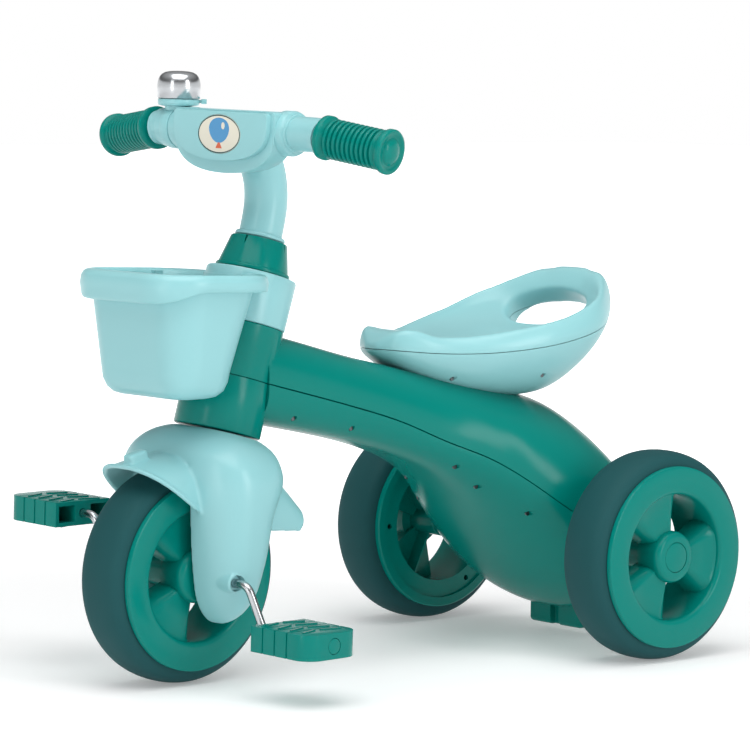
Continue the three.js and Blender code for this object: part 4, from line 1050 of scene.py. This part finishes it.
def bezier(points, steps):
    a, b, c, d = [Vector(p) for p in points]
    result = []
    for k in range(steps + 1):
        t = k / steps
        left = 1 - t
        result.append(tuple(a * left**3 + b * 3 * t * left**2 + c * 3 * t**2 * left + d * t**3))
    return result


def shield_outline(half_width, top, bottom, inset):
    """A flat top with two small corners over a deep rounded bowl."""
    half, low, high = half_width - inset, bottom + inset, top - inset
    shoulder, turn = lerp(top, low, 0.35), lerp(top, low, 0.85)
    corner = 4
    chamfer = 0.3 * corner
    bowl = bezier([(-half, shoulder), (-half, turn), (-0.55 * half, low), (0, low)], 24)
    left = [(-half + corner, high), (-half + chamfer, high - chamfer), (-half, high - corner)] + bowl
    return left + [(-a, b) for a, b in left[::-1][1:]]


def front_view(a, b, c):
    return Vector((c, a, b))


def plate(inset, low, high, bottom=0, drop=0, width=0.8, rise=0):
    outline = shield_outline(SHIELD_HALF - drop, SHIELD_TOP + rise, SHIELD_BOTTOM + bottom, inset)
    return bevelled(extrude(outline, low, high, front_view), width, 3, 50)


def along(distance):
    """A point on the left grip's axis."""
    return GRIP_INNER + (GRIP_OUTER - GRIP_INNER).normalized() * distance


def oval(half_width, half_height):
    return ring_of(72, lambda a: (half_width * cos(a), LABEL_Z + half_height * sin(a)))


GRIP_LENGTH = (GRIP_OUTER - GRIP_INNER).length
pegs = [rod(on_side(along(-2), side), on_side(along(GRIP_LENGTH - 5), side), GRIP_CORE)
        for side in (1, -1)]
lip = lathe([
    (0, 190), (23.6, 190), (24.5, 190.8), (24.5, 192.6), (23.8, 193.8), (STEM_RADIUS, 195),
    (0, 195)], 64, HEAD)
stem = union(tube(stem_line, lambda t: STEM_RADIUS, 64), lip)
cut(stem, column_rod(90, 180, COLUMN_RADIUS + GAP, 64))
bar = union(stem, tube(bar_line, lambda t: BAR_RADIUS, 48), plate(2, SHIELD_BACK, SHIELD_SPLIT, drop=8),
            *pegs)
cuffs = [bar_rod(-62, -end, radius, 0.8) for end, radius in ((72, 20.4), (77.5, 18.4), (82.5, 20.4))]
bar = union(bar, bar_rod(60, 77, 21.5, 3.5), bar_rod(60, 80, 18, 1), *cuffs)
finished(bar, "handlebar_tube", "steering", ["handlebar"], "aqua", 40)

cover = union(plate(0, SHIELD_SPLIT + GAP, SHIELD_STEP, width=2.4),
              plate(5, SHIELD_STEP - 1, SHIELD_FRONT, bottom=7, width=2.2, rise=3.6))
cut(cover, extrude(oval(29.8, 18.8), SHIELD_FRONT - 1, SHIELD_FRONT + 5, front_view))
finished(cover, "bar_cover", "steering", ["handlebar_shield"], "aqua", 30)

label = extrude(oval(29.4, 18.4), SHIELD_FRONT - 0.7, SHIELD_FRONT + 0.1, front_view)
finished(bevelled(label, 0.15, 2), "cover_label", "steering", ["shield_label"], "label")


def emblem(outline, name, paint, lift):
    """A thin printed patch on the label."""
    patch = extrude(outline, SHIELD_FRONT - 0.2, SHIELD_FRONT + 0.12 + lift, front_view)
    finished(patch, name, "steering", ["shield_label"], "label", paint=paint)


balloon = ring_of(40, lambda a: (14 * sin(a) * (1 + 0.14 * cos(a)), 525.5 + 12 * cos(a)))
emblem(balloon, "label_balloon", BLUE, 0)
emblem([(-4.5, 508.5), (4.5, 508.5), (1.2, 514), (-1.2, 514)], "label_knot", ORANGE, 0.03)
shine = ring_of(20, lambda a: (5.4 + 2.4 * sin(a), 530 + 3.4 * cos(a)))
emblem(shine, "label_shine", CREAM, 0.05)
edge_line, inner_line = oval(29.2, 18.2), oval(28.2, 17.2)
border = loft([[front_view(a, b, SHIELD_FRONT + lift) for a, b in line]
               for line, lift in ((edge_line, 0), (edge_line, 0.16), (inner_line, 0.16), (inner_line, 0),
                                  (edge_line, 0))], False)
finished(border, "label_border", "steering", ["shield_label"], "label", paint=TYRE)


def grip_profile():
    bore, end, ribs = GRIP_CORE + GAP, GRIP_LENGTH, 11
    profile = [(bore, 0), (20.4, 0), (21, 0.6), (21, 5), (20.4, 5.8), (19, 6.4), (18.3, 7.6)]
    first_rib, last_rib = 9.0, end - 9
    pitch = (last_rib - first_rib) / ribs
    for i in range(ribs):
        at = first_rib + i * pitch
        profile += [(16.6, at), (16.6, at + 0.2 * pitch), (18.9, at + 0.36 * pitch),
                    (19.2, at + 0.6 * pitch), (18.9, at + 0.84 * pitch)]
    profile += [
        (18, last_rib + 0.3), (18.4, end - 7), (20.4, end - 6), (21.3, end - 5), (21.3, end - 1.4),
        (20.6, end - 0.3), (19.4, end), (17.4, end), (16.2, end - 1.2), (13, end - 1.2), (12, end),
        (9.5, end + 1.8), (6, end + 2.9), (3, end + 3.3), (0, end + 3.4), (0, end - 4), (bore, end - 4)]
    return profile


for name, side in SIDES:
    direction = on_side((GRIP_OUTER - GRIP_INNER).normalized(), side)
    grip = lathe(grip_profile(), 96, aim(on_side(along(0.5), side), direction))
    finished(grip, f"{name}_grip_sleeve", "steering", [f"{name}_grip"], "green", 50)

# --- bell

BELL_Y = -89.5
BELL_BASE = 545.5
BELL_RIM = 552.5
bell_at = Matrix.Translation((BAR_X, BELL_Y, 0))
dome_outer = [
    (20.6, 0), (21, 0.5), (21, 12), (20.8, 15.5), (20.1, 18.6), (18.9, 21), (17, 23.2), (14, 25),
    (10, 26), (5, 26.4), (0, 26.5)]
dome_inner = [
    (0, 25.1), (5, 25), (10, 24.6), (13.4, 23.7), (16, 22), (17.9, 19.8), (19, 17), (19.5, 14),
    (19.6, 0)]
dome = lathe([(r, h + BELL_RIM + 0.5) for r, h in dome_outer + dome_inner], 96, bell_at)
finished(dome, "bell_cover", "steering", ["bell_dome"], "chrome", 60)

base_plate = lathe([
    (0, BELL_BASE), (16, BELL_BASE), (19.6, BELL_BASE + 1), (20.2, BELL_BASE + 2.4), (20.2, BELL_RIM - 1),
    (19.8, BELL_RIM - 0.2), (19, BELL_RIM), (0, BELL_RIM)], 96, bell_at)
bands = [bar_rod(-end, -83, radius, 1.4) for end, radius in ((95, 21), (104, 19.2), (112.5, 17.8))]
neck = rod((BAR_X, BELL_Y, BAR_Z), (BAR_X, BELL_Y, BELL_BASE + 1), 12, 48, 0.2, 13.5)
bell_body = cut(union(base_plate, neck, *bands), bar_rod(-140, -60, BAR_RADIUS + 0.4, SHARP))
finished(bell_body, "bell_clamp", "steering", ["bell_base"], "aqua", 40)

# --- room, light and camera

bpy.ops.mesh.primitive_plane_add(size=40)
floor = bpy.context.object
floor.name = "floor"
floor_paint = surface("white floor", 30, (0.86, 0.86, 0.865), (0.88, 0.88, 0.88), (0.5, 0.6), 0.0,
                      Emission_Color=(1, 1, 1, 1))
floor.data.materials.append(floor_paint)
floor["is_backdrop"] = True

AZIMUTH, ELEVATION, ROLL = radians(139.34), radians(4.81), radians(0.67)
flat = cos(ELEVATION)
back = Vector((sin(AZIMUTH) * flat, -cos(AZIMUTH) * flat, sin(ELEVATION)))


def faded(tree, place, operation, towards, low, high, start, end):
    """A smooth change from start to end while a measure of the place goes from low to high."""
    measure = new_node(tree, "VectorMath")
    measure.operation = operation
    measure.inputs[1].default_value = towards
    ramp = new_node(tree, "MapRange", From_Min=low, From_Max=high, To_Min=start, To_Max=end)
    ramp.interpolation_type = "SMOOTHSTEP"
    tree.links.new(place, measure.inputs[0])
    tree.links.new(measure.outputs["Value"], ramp.inputs["Value"])
    return ramp.outputs["Result"]


def larger_of(tree, one, two):
    larger = new_node(tree, "Math")
    larger.operation = "MAXIMUM"
    tree.links.new(one, larger.inputs[0])
    tree.links.new(two, larger.inputs[1])
    return larger.outputs["Value"]


# the floor glows more with distance, most of all behind the tricycle, so that it ends in white
floor_tree = floor_paint.node_tree
floor_place = new_node(floor_tree, "TexCoord").outputs["Object"]
behind = faded(floor_tree, floor_place, "DOT_PRODUCT", -back, 0.3, 2.2, 0.24, 1.0)
around = faded(floor_tree, floor_place, "LENGTH", Vector(), 1.4, 3.6, 0.24, 0.85)
floor_tree.links.new(larger_of(floor_tree, behind, around),
                     floor_tree.nodes["Principled BSDF"].inputs["Emission Strength"])

# the world is white at the horizon, grey above it, and brighter again overhead
world = bpy.data.worlds.new("studio")
scene.world = world
world.use_nodes = True
sky = world.node_tree
sky_place = new_node(sky, "TexCoord").outputs["Generated"]
upwards = Vector((0, 0, 1))
horizon = faded(sky, sky_place, "DOT_PRODUCT", upwards, 0.12, 0.3, 1.0, 0.08)
overhead = faded(sky, sky_place, "DOT_PRODUCT", upwards, 0.1, 0.9, 0.0, 0.55)
background = sky.nodes["Background"]
background.inputs["Color"].default_value = (1, 1, 1, 1)
sky.links.new(larger_of(sky, horizon, overhead), background.inputs["Strength"])


def area_light(name, position, target, size, power):
    data = bpy.data.lights.new(name, "AREA")
    data.shape = "RECTANGLE"
    data.size, data.size_y = size
    data.energy = power
    light = bpy.data.objects.new(name, data)
    light.location = position
    light.rotation_mode = "QUATERNION"
    light.rotation_quaternion = (Vector(target) - Vector(position)).to_track_quat("-Z", "Y")
    scene.collection.objects.link(light)


area_light("overhead box", (0.6, 0.6, 2.6), (0, 0, 0.2), (2.4, 2.4), 50)
area_light("left strip", (2.6, 0.6, 0.9), (0, 0, 0.3), (0.3, 1.8), 8)
area_light("right box", (-0.4, 3.0, 1.2), (0, 0, 0.3), (0.7, 1.8), 26)

scene.view_settings.view_transform = "Standard"

CAMERA_DISTANCE = 3.5491
target = Vector((0.21954 - ORIGIN_X / 1000, 0, 0.28244))
camera_data = bpy.data.cameras.new("camera")
camera_data.sensor_width = 36
camera_data.lens = 171.4704
camera = bpy.data.objects.new("camera", camera_data)
camera.location = target + back * CAMERA_DISTANCE
camera.rotation_mode = "QUATERNION"
camera.rotation_quaternion = ((-back).to_track_quat("-Z", "Y")
                              @ Matrix.Rotation(ROLL, 3, "Z").to_quaternion())
scene.collection.objects.link(camera)
scene.camera = camera

visual_low, visual_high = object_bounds()
for corners in ((cad_low, cad_high), (visual_low, visual_high)):
    json.dumps([list(corner) for corner in corners]) + "\n"
